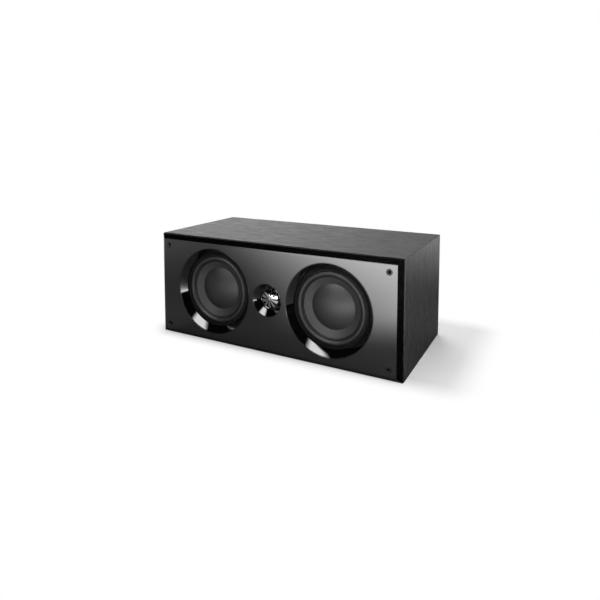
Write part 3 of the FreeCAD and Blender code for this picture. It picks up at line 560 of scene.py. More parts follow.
# Dark and light colour, range of roughness, scale of the noise, strength of the relief and its own scale
FINISHES = {
    "fibreboard": ((0.20, 0.13, 0.075, 1), (0.30, 0.21, 0.125, 1), (0.75, 0.95), 600, 0.3),
    "fascia_gloss": (*BLACK, (0.04, 0.06), 60, 0.01, 300),
    "trim_gloss": (*BLACK, (0.03, 0.045), 80),
    "socket_black": (shade(0.004), shade(0.008), (0.34, 0.44), 500, 0.05),
    "gasket_foam": (*BLACK, (0.75, 0.95), 1500, 0.5),
    "surround_rubber": (shade(0.007), shade(0.012), (0.46, 0.56), 900, 0.06),
    "cone_paper": (shade(0.026), shade(0.042), (0.50, 0.62), 500, 0.25, 1600),
    "cap_black": (shade(0.013), shade(0.019), (0.42, 0.50), 500, 0.08, 1600),
    "former_foil": (*METAL, (0.25, 0.4), 300),
    "copper_wire": ((0.45, 0.17, 0.07, 1), (0.62, 0.26, 0.11, 1), (0.25, 0.4), 900, 0.3),
    "spider_cloth": ((0.25, 0.15, 0.05, 1), (0.38, 0.24, 0.09, 1), (0.8, 0.95), 1500, 0.5),
    "basket_black": (*DARK, (0.40, 0.55), 400, 0.15),
    "zinc_steel": (*METAL, (0.28, 0.45), 200, 0.05),
    "ferrite": (shade(0.03), shade(0.06), (0.55, 0.75), 500, 0.2),
    "screw_black": (shade(0.02), shade(0.05), (0.3, 0.42), 600, 0.1),
    "terminal_strip": ((0.10, 0.06, 0.03, 1), (0.16, 0.10, 0.05, 1), (0.5, 0.65), 500, 0.1),
    "chrome_bright": (shade(0.22), shade(0.28), (0.05, 0.09), 200),
    "dome_metal": (shade(0.55), shade(0.66), (0.22, 0.30), 300, 0.03),
    "tweeter_rubber": (*DARK, (0.40, 0.50), 1500, 0.06),
    "port_black": (*DARK, (0.40, 0.52), 400, 0.15, 2500),
    "cup_black": (*DARK, (0.38, 0.50), 400, 0.2, 2500),
    "brass_bright": ((0.72, 0.50, 0.19, 1), (0.83, 0.60, 0.26, 1), (0.14, 0.24), 300),
    "collar_black": (*DARK, (0.30, 0.42), 500, 0.05),
    "cap_red_plastic": ((0.36, 0.012, 0.010, 1), (0.46, 0.02, 0.016, 1), (0.24, 0.34), 500, 0.05),
    "cap_black_plastic": (*DARK, (0.24, 0.34), 500, 0.05),
    "board_green": ((0.010, 0.09, 0.03, 1), (0.02, 0.14, 0.05, 1), (0.35, 0.5), 300, 0.05),
    "spacer_white": (shade(0.62), shade(0.70), (0.45, 0.6), 400, 0.05),
    "screw_zinc": (*METAL, (0.25, 0.4), 500, 0.05),
    "capacitor_film": ((0.36, 0.20, 0.02, 1), (0.46, 0.28, 0.04, 1), (0.25, 0.4), 300, 0.05),
    "resistor_ceramic": (shade(0.55), shade(0.66), (0.7, 0.9), 900, 0.3),
    "wadding_white": (shade(0.60), shade(0.78), (0.9, 1.0), 400, 1.0, 900),
    "lead_black": (*DARK, (0.35, 0.5), 500, 0.05),
}
REFRACTION = {
    "fascia_gloss": 1.5,
    "trim_gloss": 1.4,
    "socket_black": 1.3,
    "gasket_foam": 1.2,
    "surround_rubber": 1.35,
    "cone_paper": 1.25,
    "cap_black": 1.37,
}
METALNESS = {
    "former_foil": 1.0,
    "copper_wire": 1.0,
    "zinc_steel": 1.0,
    "screw_black": 0.8,
    "chrome_bright": 1.0,
    "dome_metal": 1.0,
    "brass_bright": 1.0,
    "screw_zinc": 1.0,
}

finishes = {"vinyl_black_ash": black_ash("vinyl_black_ash")}
for slot, values in FINISHES.items():
    settings = {}
    if slot in REFRACTION:
        settings["IOR"] = REFRACTION[slot]
    if slot in METALNESS:
        settings["Metallic"] = METALNESS[slot]
    finishes[slot] = mottled(slot, *values, **settings)
for row in frame["record"]["subparts"]:
    shown = frame["nodes"][row["node"]]
    shown.data.materials.clear()
    shown.data.materials.append(finishes[row["material_slot"]])


def dress(made, slot, body, *nodes):
    """Finish of a piece, the body that it rides on and the nodes that it stands for."""
    made.data.materials.append(finishes[slot])
    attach(made, body)
    if nodes:
        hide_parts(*nodes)


def flex(made, slot, body, start, end, *nodes):
    """Finish of a piece that stretches from the cabinet to a moving body, and the nodes it stands for; the
    body, start and end are not used.
    """
    made.data.materials.append(finishes[slot])
    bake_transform(made)
    if nodes:
        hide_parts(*nodes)


def fascia():
    """Front moulding with rounded creases, driver mouths and socket seats."""
    mesh = bmesh.new()
    half_width, half_height = FASCIA_FACE
    across, back = FASCIA_BEVEL
    face_round, bevel_round, edge_round = FASCIA_ROUNDS
    profile = filleted(
        [
            (-FACE_STRIP, 0.0),
            (0.0, 0.0, face_round),
            (across, back, bevel_round),
            (across, FASCIA_EDGE_REAR, edge_round),
            (-FASCIA_PAD_INSET, FASCIA_EDGE_REAR),
            (-FASCIA_PAD_INSET, FASCIA_REAR),
        ]
    )
    rows = []
    for offset, depth in profile:
        loop = outline(half_width + offset, half_height + offset, 0.0)
        rows.append([mesh.verts.new(at(x, depth, z)) for x, z in loop])
    join_rows(mesh, rows)
    seat = filleted(
        [
            (SOCKET_SEAT + SOCKET_STRIP, 0.0),
            (SOCKET_SEAT, 0.0, SOCKET_ROUND),
            (SOCKET_SEAT, SOCKET_SEAT_DEPTH),
            (SOCKET_BORE, SOCKET_SEAT_DEPTH),
            (SOCKET_BORE, FASCIA_REAR),
        ]
    )
    mouths = [(x, WOOFER_HOLE) for x in WOOFERS.values()] + [(0.0, TWEETER_HOLE)]
    holes = []
    for x, radius in mouths:
        wall = filleted([(radius + HOLE_STRIP, 0.0), (radius, 0.0, HOLE_ROUND), (radius, FASCIA_REAR)])
        holes.append(turned_rows(mesh, wall, x, MIDDLE))
    for x, z in SOCKETS:
        holes.append(turned_rows(mesh, seat, x, z, FITTING_SEGMENTS))
    for hole in holes:
        join_rows(mesh, hole)
    fill(mesh, [rows[0]] + [hole[0] for hole in holes])
    fill(mesh, [rows[-1]] + [hole[-1] for hole in holes])
    return piece("fascia", mesh)


def trim(side, x):
    """Flared gloss ring round a woofer, with a narrow lip."""
    outer_round, inner_round = LIP_ROUNDS
    lip = (TRIM_MOUTH - LIP_WIDTH, LIP_SETBACK)
    slope = bowed(lip, (TRIM_THROAT + TRIM_TAPER, TRIM_FLARE_DEPTH), TRIM_BOW)
    profile = filleted(
        [
            (TRIM_MOUTH, FASCIA_REAR),
            (TRIM_MOUTH, LIP_SETBACK, outer_round),
            (*lip, inner_round),
            *slope[1:-1],
            (*slope[-1], TRIM_THROAT_ROUND),
            (TRIM_THROAT, TRIM_FOOT),
            (TRIM_THROAT + TRIM_FOOT_WIDTH, TRIM_FOOT),
            (TRIM_MOUTH - TRIM_WALL, TRIM_WALL_FRONT),
            (TRIM_MOUTH - TRIM_WALL, FASCIA_REAR),
        ]
    )
    dress(lathe("trim_" + side, profile, x), "trim_gloss", "cabinet", "trim_ring_" + side)


def gasket(side, x):
    """Soft-edged ring on the rim of a basket."""
    inner, outer, front, rear = GASKET
    profile = filleted(
        [
            (outer, rear),
            (outer, front, GASKET_ROUND),
            (inner, front, GASKET_ROUND),
            (inner, rear),
        ]
    )
    dress(lathe("gasket_ring_" + side, profile, x), "gasket_foam", "cabinet", "gasket_" + side)


def surround(side, x):
    """Half roll of rubber in two halves, which meet at its crest."""
    centre = (ROLL_CENTRE, ROLL_FOOT)
    under = ROLL_RADIUS - SURROUND_THICKNESS
    seat = ROLL_FOOT + SURROUND_THICKNESS
    top_steps, under_steps = ROLL_STEPS
    run, lift = RUN_OUT
    outer_run, inner_run = RUN_OUT_ENDS
    chamfer_across, chamfer_back = SURROUND_CHAMFER
    roll_out = ROLL_CENTRE + ROLL_RADIUS
    roll_in = ROLL_CENTRE - ROLL_RADIUS
    outer_half = [
        *arc(centre, ROLL_RADIUS, -90, -ROLL_STOP, top_steps),
        (roll_out + run, ROLL_FOOT - lift),
        (roll_out + outer_run, ROLL_FOOT),
        (SURROUND_OUTER, ROLL_FOOT),
        (SURROUND_OUTER, seat),
        (ROLL_CENTRE + under, seat),
        *arc(centre, under, 0, -90, under_steps),
    ]
    inner_half = [
        *arc(centre, ROLL_RADIUS, -90, ROLL_STOP - 180, top_steps),
        (roll_in - run, ROLL_FOOT - lift),
        (roll_in - inner_run, ROLL_FOOT),
        (SURROUND_INNER + chamfer_across, ROLL_FOOT),
        (SURROUND_INNER, ROLL_FOOT + chamfer_back),
        (SURROUND_INNER, seat),
        (ROLL_CENTRE - under, seat),
        *arc(centre, under, 180, 270, under_steps),
    ]
    body = side + "_diaphragm"
    foot = at(x, ROLL_FOOT, MIDDLE)
    past_crest = at(x, ROLL_FOOT - 2 * ROLL_RADIUS, MIDDLE)
    outer = lathe(f"surround_{side}_outer", outer_half, x)
    flex(outer, "surround_rubber", body, foot, past_crest, "surround_" + side)
    inner = lathe(f"surround_{side}_inner", inner_half, x)
    flex(inner, "surround_rubber", body, past_crest, foot)


def bead(side, x):
    """Bead of glue where the cone meets its surround, matte black: partly painted shade for the dark groove
    there.
    """
    low_edge, crown, high_edge, front = BEAD
    edge_round, crown_round = BEAD_ROUNDS
    heel_across, heel_depth = BEAD_HEEL
    profile = filleted(
        [
            (high_edge, ROLL_FOOT + BEAD_SEAT),
            (high_edge, front, edge_round),
            (crown, front, crown_round),
            (low_edge, CONE_FRONT + BEAD_TOE_DEPTH),
            (low_edge + heel_across, CONE_FRONT + heel_depth),
            (crown - BEAD_BACK_INSET, ROLL_FOOT + BEAD_SEAT),
        ]
    )
    # Black finish on the bead: painted shade in the groove between roll and cone, on a real bead of glue
    dress(lathe("groove_shade_bead_" + side, profile, x), "gasket_foam", side + "_diaphragm")


def cone(side, x):
    """Straight paper cone with a flat lip."""
    profile = filleted(
        [
            (CONE_NECK, CONE_NECK_DEPTH),
            (CONE_EDGE, CONE_FRONT, CONE_ROUND),
            (CONE_LIP, CONE_FRONT),
            (CONE_LIP, CONE_FRONT + CONE_WALL),
            (CONE_EDGE, CONE_FRONT + CONE_SLANT_WALL),
            (CONE_NECK, CONE_NECK_DEPTH + CONE_SLANT_WALL),
        ]
    )
    dress(lathe("cone_shell_" + side, profile, x), "cone_paper", side + "_diaphragm", "cone_" + side)


def dust_cap(side, x):
    """Large shallow dome that stands on the cone."""
    slope = (CONE_NECK_DEPTH - CONE_FRONT) / (CONE_EDGE - CONE_NECK)
    rim = CONE_FRONT + slope * (CONE_EDGE - CAP_RADIUS) - CAP_LIFT
    outside = cap_profile(CAP_RADIUS, CAP_RISE, rim, CAP_STEPS)
    tip = (0.0, rim - CAP_RISE + CAP_WALL)
    profile = [*outside, *inner_skin(outside[2:], CAP_WALL), tip]
    made = lathe("dust_dome_" + side, profile, x, closed=False)
    dress(made, "cap_black", side + "_diaphragm", "dust_cap_" + side)


def spider(side, x):
    """Corrugated cloth disc in equal sectors."""
    low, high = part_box("spider_" + side)
    outer = (high.x - low.x) / 2 / MM
    first = CONE_NECK + SPIDER_COLLAR
    last = outer - SPIDER_LEDGE
    steps = SPIDER_RIDGES * SPIDER_RIDGE_STEPS
    front = [(CONE_NECK, SPIDER_FRONT)]
    for step in range(steps + 1):
        lift = SPIDER_RIDGE_HEIGHT * math.sin(2 * math.pi * SPIDER_RIDGES * step / steps)
        front.append((first + (last - first) * step / steps, SPIDER_FRONT - lift))
    front.append((outer, SPIDER_FRONT))
    cloth = front + [(radius, depth + SPIDER_THICKNESS) for radius, depth in reversed(front)]
    half = math.pi / SPIDER_SECTORS
    for sector in range(SPIDER_SECTORS):
        middle = 2 * half * sector
        mesh = bmesh.new()
        rows = []
        for step in range(SPIDER_SECTOR_STEPS + 1):
            angle = middle + half * (2 * step / SPIDER_SECTOR_STEPS - 1)
            across = Vector((math.cos(angle), math.sin(angle)))
            row = []
            for radius, depth in cloth:
                place = across * radius
                row.append(mesh.verts.new(at(x + place.x, depth, MIDDLE + place.y)))
            rows.append(row)
        join_rows(mesh, rows)
        mesh.faces.new(rows[0])
        mesh.faces.new(rows[-1])
        along = Vector((math.cos(middle), math.sin(middle)))
        held = along * last * math.cos(half)
        moved = along * first
        start = at(x + held.x, SPIDER_FRONT, MIDDLE + held.y)
        end = at(x + moved.x, SPIDER_FRONT, MIDDLE + moved.y)
        nodes = ["spider_" + side] if sector == 0 else []
        made = piece(f"spider_{side}_{sector}", mesh)
        flex(made, "spider_cloth", side + "_diaphragm", start, end, *nodes)


dress(fascia(), "fascia_gloss", "cabinet", "front_fascia")
for side, x in WOOFERS.items():
    trim(side, x)
    gasket(side, x)
    surround(side, x)
    bead(side, x)
    cone(side, x)
    dust_cap(side, x)
for side, x in WOOFERS.items():
    spider(side, x)


def horn():
    """Flare of the tweeter, with the flange and plate behind it."""
    outer_round, inner_round = LIP_ROUNDS
    lip = (FLARE_MOUTH - LIP_WIDTH, LIP_SETBACK)
    slope = bowed(lip, (FLARE_THROAT, FLARE_DEPTH), FLARE_BOW)
    flange, flange_front, flange_rear = HORN_FLANGE
    plate, plate_rear = HORN_PLATE
    bore = GUIDE_RING + GUIDE_CLEARANCE
    profile = filleted(
        [
            (FLARE_MOUTH, flange_front),
            (FLARE_MOUTH, LIP_SETBACK, outer_round),
            (*lip, inner_round),
            *slope[1:-1],
            (*slope[-1], FLARE_THROAT_ROUND),
            (FLARE_THROAT, FLARE_GROOVE),
            (bore, FLARE_GROOVE),
            (bore, DOME_DEPTH),
            (HORN_SEAT, DOME_DEPTH),
            (HORN_SEAT, plate_rear),
            (plate, plate_rear),
            (plate, flange_rear),
            (flange, flange_rear),
            (flange, flange_front),
        ]
    )
    dress(lathe("horn_mouth", profile), "trim_gloss", "cabinet", "tweeter_flare")


def guide_ring():
    """Ring that carries the vanes."""
    front_round, inner_round = GUIDE_RING_ROUNDS
    profile = filleted(
        [
            (GUIDE_RING, DOME_DEPTH),
            (GUIDE_RING, GUIDE_FRONT, front_round),
            (GUIDE_RING_INNER, GUIDE_FRONT + GUIDE_RING_SLOPE, inner_round),
            (GUIDE_RING_INNER, DOME_DEPTH),
        ]
    )
    dress(lathe("guide_ring", profile), "trim_gloss", "cabinet")


def vane_section(share):
    """Radius of a station along a vane, and its section as offsets to the side and depths."""
    narrow, wide = VANE_WIDTHS
    radius = VANE_START + (GUIDE_RING_INNER + VANE_OVERLAP - VANE_START) * share
    half = (narrow + (wide - narrow) * share) / 2
    soft = min(VANE_SOFT, half / 2)
    front = GUIDE_HUB_DEPTH + GUIDE_FALL * (radius / GUIDE_RING) ** 2
    sphere = sphere_of(DOME_RADIUS, DOME_RISE) + DOME_CLEARANCE
    crest = DOME_DEPTH - DOME_RISE - DOME_CLEARANCE
    rear = min(GUIDE_REAR, crest + sphere - math.sqrt(sphere**2 - radius**2))
    rear = max(rear, front + VANE_LEAST_DEPTH)
    shoulder = front + VANE_CROWN * half + soft
    section = [(half, rear), (half, shoulder)]
    for step in range(VANE_STEPS + 1):
        offset = (half - soft * VANE_SOFT_SHARE) * (1 - 2 * step / VANE_STEPS)
        section.append((offset, front + VANE_CROWN * offset**2 / half))
    return radius, section + [(-half, shoulder), (-half, rear)]


def waveguide():
    """Broad tapering vanes and a hub, close over the dome."""
    mesh = bmesh.new()
    hub = arc((0.0, GUIDE_HUB_DEPTH + GUIDE_HUB), GUIDE_HUB, -90, 0, GUIDE_HUB_STEPS)
    hub[0] = (0.0, GUIDE_HUB_DEPTH)
    hub.append((0.0, GUIDE_HUB_DEPTH + GUIDE_HUB))
    join_rows(mesh, turned_rows(mesh, hub, 0.0, MIDDLE, SMALL_SEGMENTS))
    stations = [vane_section(station / VANE_STATIONS) for station in range(VANE_STATIONS + 1)]
    for vane in range(VANES):
        angle = math.radians(90 + 360 / VANES * vane)
        out = Vector((math.cos(angle), math.sin(angle)))
        over = Vector((-out.y, out.x))
        rows = []
        for radius, section in stations:
            row = []
            for offset, depth in section:
                place = out * radius + over * offset
                row.append(mesh.verts.new(at(place.x, depth, MIDDLE + place.y)))
            rows.append(row)
        join_rows(mesh, rows)
        mesh.faces.new(rows[0])
        mesh.faces.new(rows[-1])
    dress(piece("waveguide_vanes", mesh), "chrome_bright", "cabinet", "tweeter_waveguide")


def tweeter_dome():
    """Thin metal dome with a flat rim over its coil."""
    rim_start, rim_edge, rim_front, rim_rear = DOME_RIM
    outside = cap_profile(DOME_RADIUS, DOME_RISE, DOME_DEPTH, DOME_STEPS)
    inside = inner_skin(outside[1:], DOME_WALL)
    inside[0] = (DOME_RADIUS - DOME_WALL, rim_rear)
    outside[-1] = (rim_start, rim_front)
    rim = [(rim_edge, rim_front), (rim_edge, rim_rear)]
    tip = (0.0, DOME_DEPTH - DOME_RISE + DOME_WALL)
    made = lathe("dome_shell", [*outside, *rim, *inside, tip], closed=False)
    dress(made, "dome_metal", "tweeter_diaphragm", "tweeter_dome")


def sockets():
    """Four cups with a soft-edged flange for the grille's pegs."""
    mesh = bmesh.new()
    bore, flange, body = PEG_CUP
    mouth_round, flange_round = PEG_CUP_ROUNDS
    cup = filleted(
        [
            (0.0, PEG_CUP_FLOOR),
            (bore, PEG_CUP_FLOOR),
            (bore, 0.0, mouth_round),
            (flange, 0.0, flange_round),
            (flange, SOCKET_SEAT_DEPTH),
            (body, SOCKET_SEAT_DEPTH),
            (body, PEG_CUP_END),
            (0.0, PEG_CUP_END),
        ]
    )
    for x, z in SOCKETS:
        join_rows(mesh, turned_rows(mesh, cup, x, z, FITTING_SEGMENTS))
    dress(piece("peg_cups", mesh), "socket_black", "cabinet", "grille_sockets")


horn()
guide_ring()
waveguide()
tweeter_dome()
sockets()


def port():
    """Port tube with a rolled mouth and a flange."""
    inner_end = FITTING_FACE - PORT_LENGTH
    inner_round, flange_round = PORT_ROUNDS
    roll = (PORT_BORE + PORT_MOUTH_RADIUS, FITTING_FACE - PORT_MOUTH_RADIUS)
    profile = filleted(
        [
            (PORT_OUTER, inner_end),
            (PORT_BORE, inner_end, inner_round),
            *arc(roll, PORT_MOUTH_RADIUS, 180, 90, PORT_MOUTH_STEPS),
            (PORT_FLANGE, FITTING_FACE, flange_round),
            (PORT_FLANGE, REAR_FACE),
            (PORT_OUTER, REAR_FACE),
        ]
    )
    dress(lathe("port_mouth", profile, PORT_X), "port_black", "cabinet", "port_tube")


def cup_rows(mesh, points):
    """Rows of the terminal cup's rounded rectangle, set out from its mouth and at a depth."""
    half_width, half_height, mouth_corner = CUP_MOUTH
    rows = []
    for offset, depth in points:
        corner = mouth_corner
        if offset > CUP_FLANGE / 2:
            corner = CUP_FLANGE_CORNER - (CUP_FLANGE - offset)
        loop = outline(half_width + offset, half_height + offset, corner, CUP_X)
        rows.append([mesh.verts.new(at(x, depth, z)) for x, z in loop])
    join_rows(mesh, rows)
    return rows


def terminal_cup():
    """Tray with a soft lip, a drafted recess and countersunk screw holes."""
    mesh = bmesh.new()
    outside = filleted(
        [
            (CUP_WALL - CUP_BACK_STRIP, CUP_BACK),
            (CUP_WALL, CUP_BACK, CUP_BACK_ROUND),
            (CUP_WALL, REAR_FACE),
            (CUP_FLANGE, REAR_FACE),
            (CUP_FLANGE, FITTING_FACE, CUP_FLANGE_ROUND),
            (CUP_FLANGE - CUP_FLANGE_STRIP, FITTING_FACE),
        ]
    )
    recess = filleted(
        [
            (CUP_MOUTH_STRIP, FITTING_FACE),
            (0.0, FITTING_FACE, CUP_MOUTH_ROUND),
            (-CUP_DRAFT, CUP_FLOOR, CUP_FLOOR_ROUND),
            (-CUP_DRAFT - CUP_FLOOR_STRIP, CUP_FLOOR),
        ]
    )
    body = cup_rows(mesh, outside)
    tray = cup_rows(mesh, recess)
    shank_hole = SCREW_SHANK + SCREW_CLEARANCE
    sink = [
        (SCREW_SINK, FITTING_FACE),
        (shank_hole, FITTING_FACE - SCREW_SINK_DEPTH),
        (shank_hole, REAR_FACE),
    ]
    holes = []
    for x, z in CUP_SCREWS:
        rows = turned_rows(mesh, sink, x, z, SMALL_SEGMENTS)
        join_rows(mesh, rows)
        holes.append(rows[0])
    fill(mesh, [body[-1], tray[0], *holes])
    fill(mesh, [tray[-1]])
    fill(mesh, [body[0]])
    dress(piece("cup_tray", mesh), "cup_black", "cabinet", "terminal_cup")


def cup_screws():
    """Countersunk screws with a cross recess."""
    mesh = bmesh.new()
    arm, reach, recess_depth, taper = RECESS
    cross = []
    for quarter in range(4):
        turn = math.pi / 2 * quarter
        for across, along in ((arm, arm), (arm, reach), (-arm, reach)):
            right = across * math.cos(turn) - along * math.sin(turn)
            up = across * math.sin(turn) + along * math.cos(turn)
            cross.append((right, up))
    sides = filleted(
        [
            (SCREW_HEAD - SCREW_HEAD_STRIP, FITTING_FACE),
            (SCREW_HEAD, FITTING_FACE - SCREW_HEAD_EDGE, SCREW_HEAD_ROUND),
            (SCREW_SHANK, FITTING_FACE - SCREW_HEAD_HEIGHT),
            (SCREW_SHANK, FITTING_FACE - SCREW_LENGTH + SCREW_POINT),
            (0.0, FITTING_FACE - SCREW_LENGTH),
        ]
    )
    floor = FITTING_FACE - recess_depth
    for x, z in CUP_SCREWS:
        rows = turned_rows(mesh, sides, x, z, SMALL_SEGMENTS)
        join_rows(mesh, rows)
        top = [mesh.verts.new(at(x + right, FITTING_FACE, z + up)) for right, up in cross]
        foot = [mesh.verts.new(at(x + right * taper, floor, z + up * taper)) for right, up in cross]
        join_rows(mesh, [top, foot])
        fill(mesh, [rows[0], top])
        fill(mesh, [foot])
    dress(piece("cup_screw_set", mesh), "screw_black", "cabinet", "cup_screws")


def thread(start, end):
    """Zigzag of a screw thread between two depths on the stud."""
    turns = int((end - start) / THREAD_PITCH)
    points = []
    for turn in range(turns):
        depth = start + (end - start) * turn / turns
        points.append((STUD, depth))
        points.append((STUD - THREAD_DEPTH, depth + THREAD_PITCH / 2))
    return points


def studs():
    """Bored and threaded studs of the binding posts."""
    mesh = bmesh.new()
    inner, outer = STUD_ENDS
    plain_start = CUP_BACK - STUD_CHAMFER
    plain_end = CUP_FLOOR + STUD_PLAIN_END
    profile = [
        (0.0, inner),
        (STUD - STUD_CHAMFER, inner),
        *thread(inner + STUD_CHAMFER, plain_start - THREAD_GAP),
        (STUD, plain_start),
        (STUD, plain_end),
        *thread(plain_end + THREAD_GAP, KNOB_ENDS[1] - KNOB_RECESS[2]),
        (STUD, outer - STUD_CHAMFER),
        (STUD - STUD_TOP_CHAMFER, outer),
        (STUD_BORE + STUD_BORE_CHAMFER, outer),
        (STUD_BORE, outer - STUD_BORE_CHAMFER),
        (STUD_BORE, STUD_BORE_END),
        (0.0, STUD_BORE_END - STUD_DRILL_TIP),
    ]
    for x in POSTS.values():
        join_rows(mesh, turned_rows(mesh, profile, x, MIDDLE, FITTING_SEGMENTS))
    dress(piece("stud_pair", mesh), "brass_bright", "cabinet", "binding_studs")


def collars():
    """Insulating collars under the caps."""
    mesh = bmesh.new()
    radius, bore, top = COLLAR
    edge_round, bore_round = COLLAR_ROUNDS
    profile = filleted(
        [
            (bore, CUP_FLOOR),
            (radius, CUP_FLOOR),
            (radius, top, edge_round),
            (bore, top, bore_round),
        ]
    )
    for x in POSTS.values():
        join_rows(mesh, turned_rows(mesh, profile, x, MIDDLE, FITTING_SEGMENTS), True)
    dress(piece("collar_pair", mesh), "collar_black", "cabinet", "post_collars")


def knob(colour, x):
    """Fluted cap with a skirt, soft ends and a bore for the stud."""
    mesh = bmesh.new()
    inner, outer = KNOB_ENDS
    skirt_round, top_round, recess_round = KNOB_ROUNDS
    recess_mouth, recess_floor, recess_depth = KNOB_RECESS
    flute_centre = KNOB_RADIUS + FLUTE_RADIUS / 2
    count = KNOB_FLUTES * FLUTE_POINTS
    profile = filleted(
        [
            (KNOB_BORE, inner),
            (KNOB_RADIUS, inner, skirt_round),
            (KNOB_RADIUS, outer, top_round),
            (recess_mouth, outer, recess_round),
            (recess_floor, outer - recess_depth, recess_round),
            (KNOB_BORE, outer - recess_depth),
        ]
    )
    rows = []
    for radius, depth in profile:
        row = []
        for index in range(count):
            angle = 2 * math.pi * index / count
            share = (index + FLUTE_POINTS // 2) % FLUTE_POINTS / FLUTE_POINTS - 0.5
            spread = 2 * math.pi / KNOB_FLUTES * share
            across = flute_centre * math.sin(spread)
            reach = radius
            if depth > inner + KNOB_SKIRT and abs(across) < FLUTE_RADIUS:
                hollow = flute_centre * math.cos(spread) - math.sqrt(FLUTE_RADIUS**2 - across**2)
                reach = min(radius, hollow - KNOB_RADIUS + max(radius, KNOB_RADIUS - top_round))
            place = (x + reach * math.cos(angle), depth, MIDDLE + reach * math.sin(angle))
            row.append(mesh.verts.new(at(*place)))
        rows.append(row)
    join_rows(mesh, rows, True)
    dress(piece("knob_" + colour, mesh), f"cap_{colour}_plastic", colour + "_cap", "post_cap_" + colour)


port()
terminal_cup()
cup_screws()
studs()
collars()
for colour, x in POSTS.items():
    knob(colour, x)

# Studio, in metres. The floor goes over into the white background past a rectangle round the shadow.
SHADOW_CENTRE = (0.035, 0.04)
SHADOW_HALF = (0.24, 0.115)
SHADOW_FADE = (0.0, 0.06)
MIRROR_FADE = (0.2, 1.0)
FLOOR_SIZE = 4.0
FLOOR_LEVEL = 0.52
# Floor colour for gloss and bounce rays, in front of and behind the turn: painted light and shade, lighter
# in front of the part and darker beside and behind it
FLOOR_PAINTED_MIRROR = (0.45, 0.10)
FLOOR_TURN = (-0.125, -0.112)
FLOOR_GRAIN = {"Scale": 900.0, "Detail": 3.0}
FLOOR_FLECK = (0.97, 1.0)
ROOM_LEVEL = 0.18
FRONT_LEVEL = 0.01
RIGHT_LEVEL = 0.45
BEHIND_TURN = (0.0, 0.35)
LEFT_TURN = (-0.60, -0.20)


def background_rays(tree):
    """One for the rays that look straight at the background, and one for those that mirror it."""
    path = add(tree, "LightPath")
    seen = path.outputs["Is Camera Ray"]
    through = path.outputs["Is Transmission Ray"]
    straight = add(tree, "Math", seen, through, operation="MAXIMUM")
    return straight, path.outputs["Is Glossy Ray"]


def floor_material():
    """Pale floor that goes over into the white background away from the part."""
    made, tree, output = new_material("floor_paper")
    where = add(tree, "TexCoord").outputs["Object"]
    axes = add(tree, "SeparateXYZ", where)
    past = []
    for axis in (0, 1):
        offset = add(tree, "Math", axes.outputs[axis], SHADOW_CENTRE[axis], operation="SUBTRACT")
        reach = add(tree, "Math", offset, operation="ABSOLUTE")
        beyond = add(tree, "Math", reach, SHADOW_HALF[axis], operation="SUBTRACT")
        past.append(add(tree, "Math", beyond, 0.0, operation="MAXIMUM"))
    gap = add(tree, "CombineXYZ", *past)
    distance = add(tree, "VectorMath", gap, operation="LENGTH").outputs["Value"]
    straight, mirrored = background_rays(tree)
    share = 0.0
    for rays, fade in ((straight, SHADOW_FADE), (mirrored, MIRROR_FADE)):
        far = ramp(tree, distance, fade, UNIT, smooth=True)
        share = add(tree, "Math", far, rays, share, operation="MULTIPLY_ADD")
    grain = add(tree, "TexNoise", Vector=where, **FLOOR_GRAIN)
    # Painted shade: the floor that gloss mirrors is darker behind the turn at the front plane
    painted_mirror = ramp(tree, axes.outputs[1], FLOOR_TURN, FLOOR_PAINTED_MIRROR)
    level = ramp(tree, straight, UNIT, (painted_mirror, FLOOR_LEVEL))
    fleck = ramp(tree, grain, NOISE_SPAN, FLOOR_FLECK)
    paper = add(tree, "BsdfDiffuse", add(tree, "Math", level, fleck, operation="MULTIPLY"))
    white = add(tree, "Emission", shade(1.0), 1.0)
    feed(tree, output.inputs[0], add(tree, "MixShader", share, paper, white))
    return made


def studio_world():
    """White to the camera; in gloss bright behind the part and on the left, and dark in front."""
    world = bpy.data.worlds.new("studio")
    bpy.context.scene.world = world
    world.use_nodes = True
    tree = world.node_tree
    tree.nodes.clear()
    direction = add(tree, "SeparateXYZ", add(tree, "TexCoord").outputs["Generated"])
    behind = ramp(tree, direction.outputs[1], BEHIND_TURN, (FRONT_LEVEL, 1.0), smooth=True)
    leftward = ramp(tree, direction.outputs[0], LEFT_TURN, (1.0, RIGHT_LEVEL), smooth=True)
    backdrop = add(tree, "Math", behind, leftward, operation="MULTIPLY")
    straight, mirrored = background_rays(tree)
    level = ramp(tree, straight, UNIT, (ROOM_LEVEL, 1.0))
    shown = mix(tree, "FLOAT", mirrored, level, backdrop)
    sky = add(tree, "OutputWorld")
    feed(tree, sky.inputs[0], add(tree, "Background", shade(1.0), shown))


floor_mesh = bmesh.new()
bmesh.ops.create_grid(floor_mesh, x_segments=1, y_segments=1, size=FLOOR_SIZE)
floor = piece("floor", floor_mesh)
floor.data.materials.append(floor_material())
studio_world()


def lamp(name, centre, size, radiance, aim, fades=(), gloss_only=False):
    """Rectangular lamp. A fade is a direction, and the places along it where light starts and is full."""
    data = bpy.data.lights.new(name, "AREA")
    data.shape = "RECTANGLE"
    data.size, data.size_y = size
    data.energy = radiance * math.pi * size[0] * size[1]
    data.use_nodes = True
    tree = data.node_tree
    tree.nodes.clear()
    place = add(tree, "NewGeometry").outputs["Position"]
    strength = 1.0
    for toward, *span in fades:
        along = add(tree, "VectorMath", place, toward, operation="DOT_PRODUCT").outputs["Value"]
        edge = ramp(tree, along, span, UNIT, smooth=True)
        strength = add(tree, "Math", edge, strength, operation="MULTIPLY")
    output = add(tree, "OutputLight")
    feed(tree, output.inputs[0], add(tree, "Emission", shade(1.0), strength))
    made = bpy.data.objects.new(name, data)
    made.location = centre
    made.rotation_mode = "QUATERNION"
    made.rotation_quaternion = (Vector(centre) - Vector(aim)).to_track_quat("Z", "Y")
    made.visible_camera = False
    made.visible_diffuse = not gloss_only
    made.visible_glossy = gloss_only
    bpy.context.scene.collection.objects.link(made)


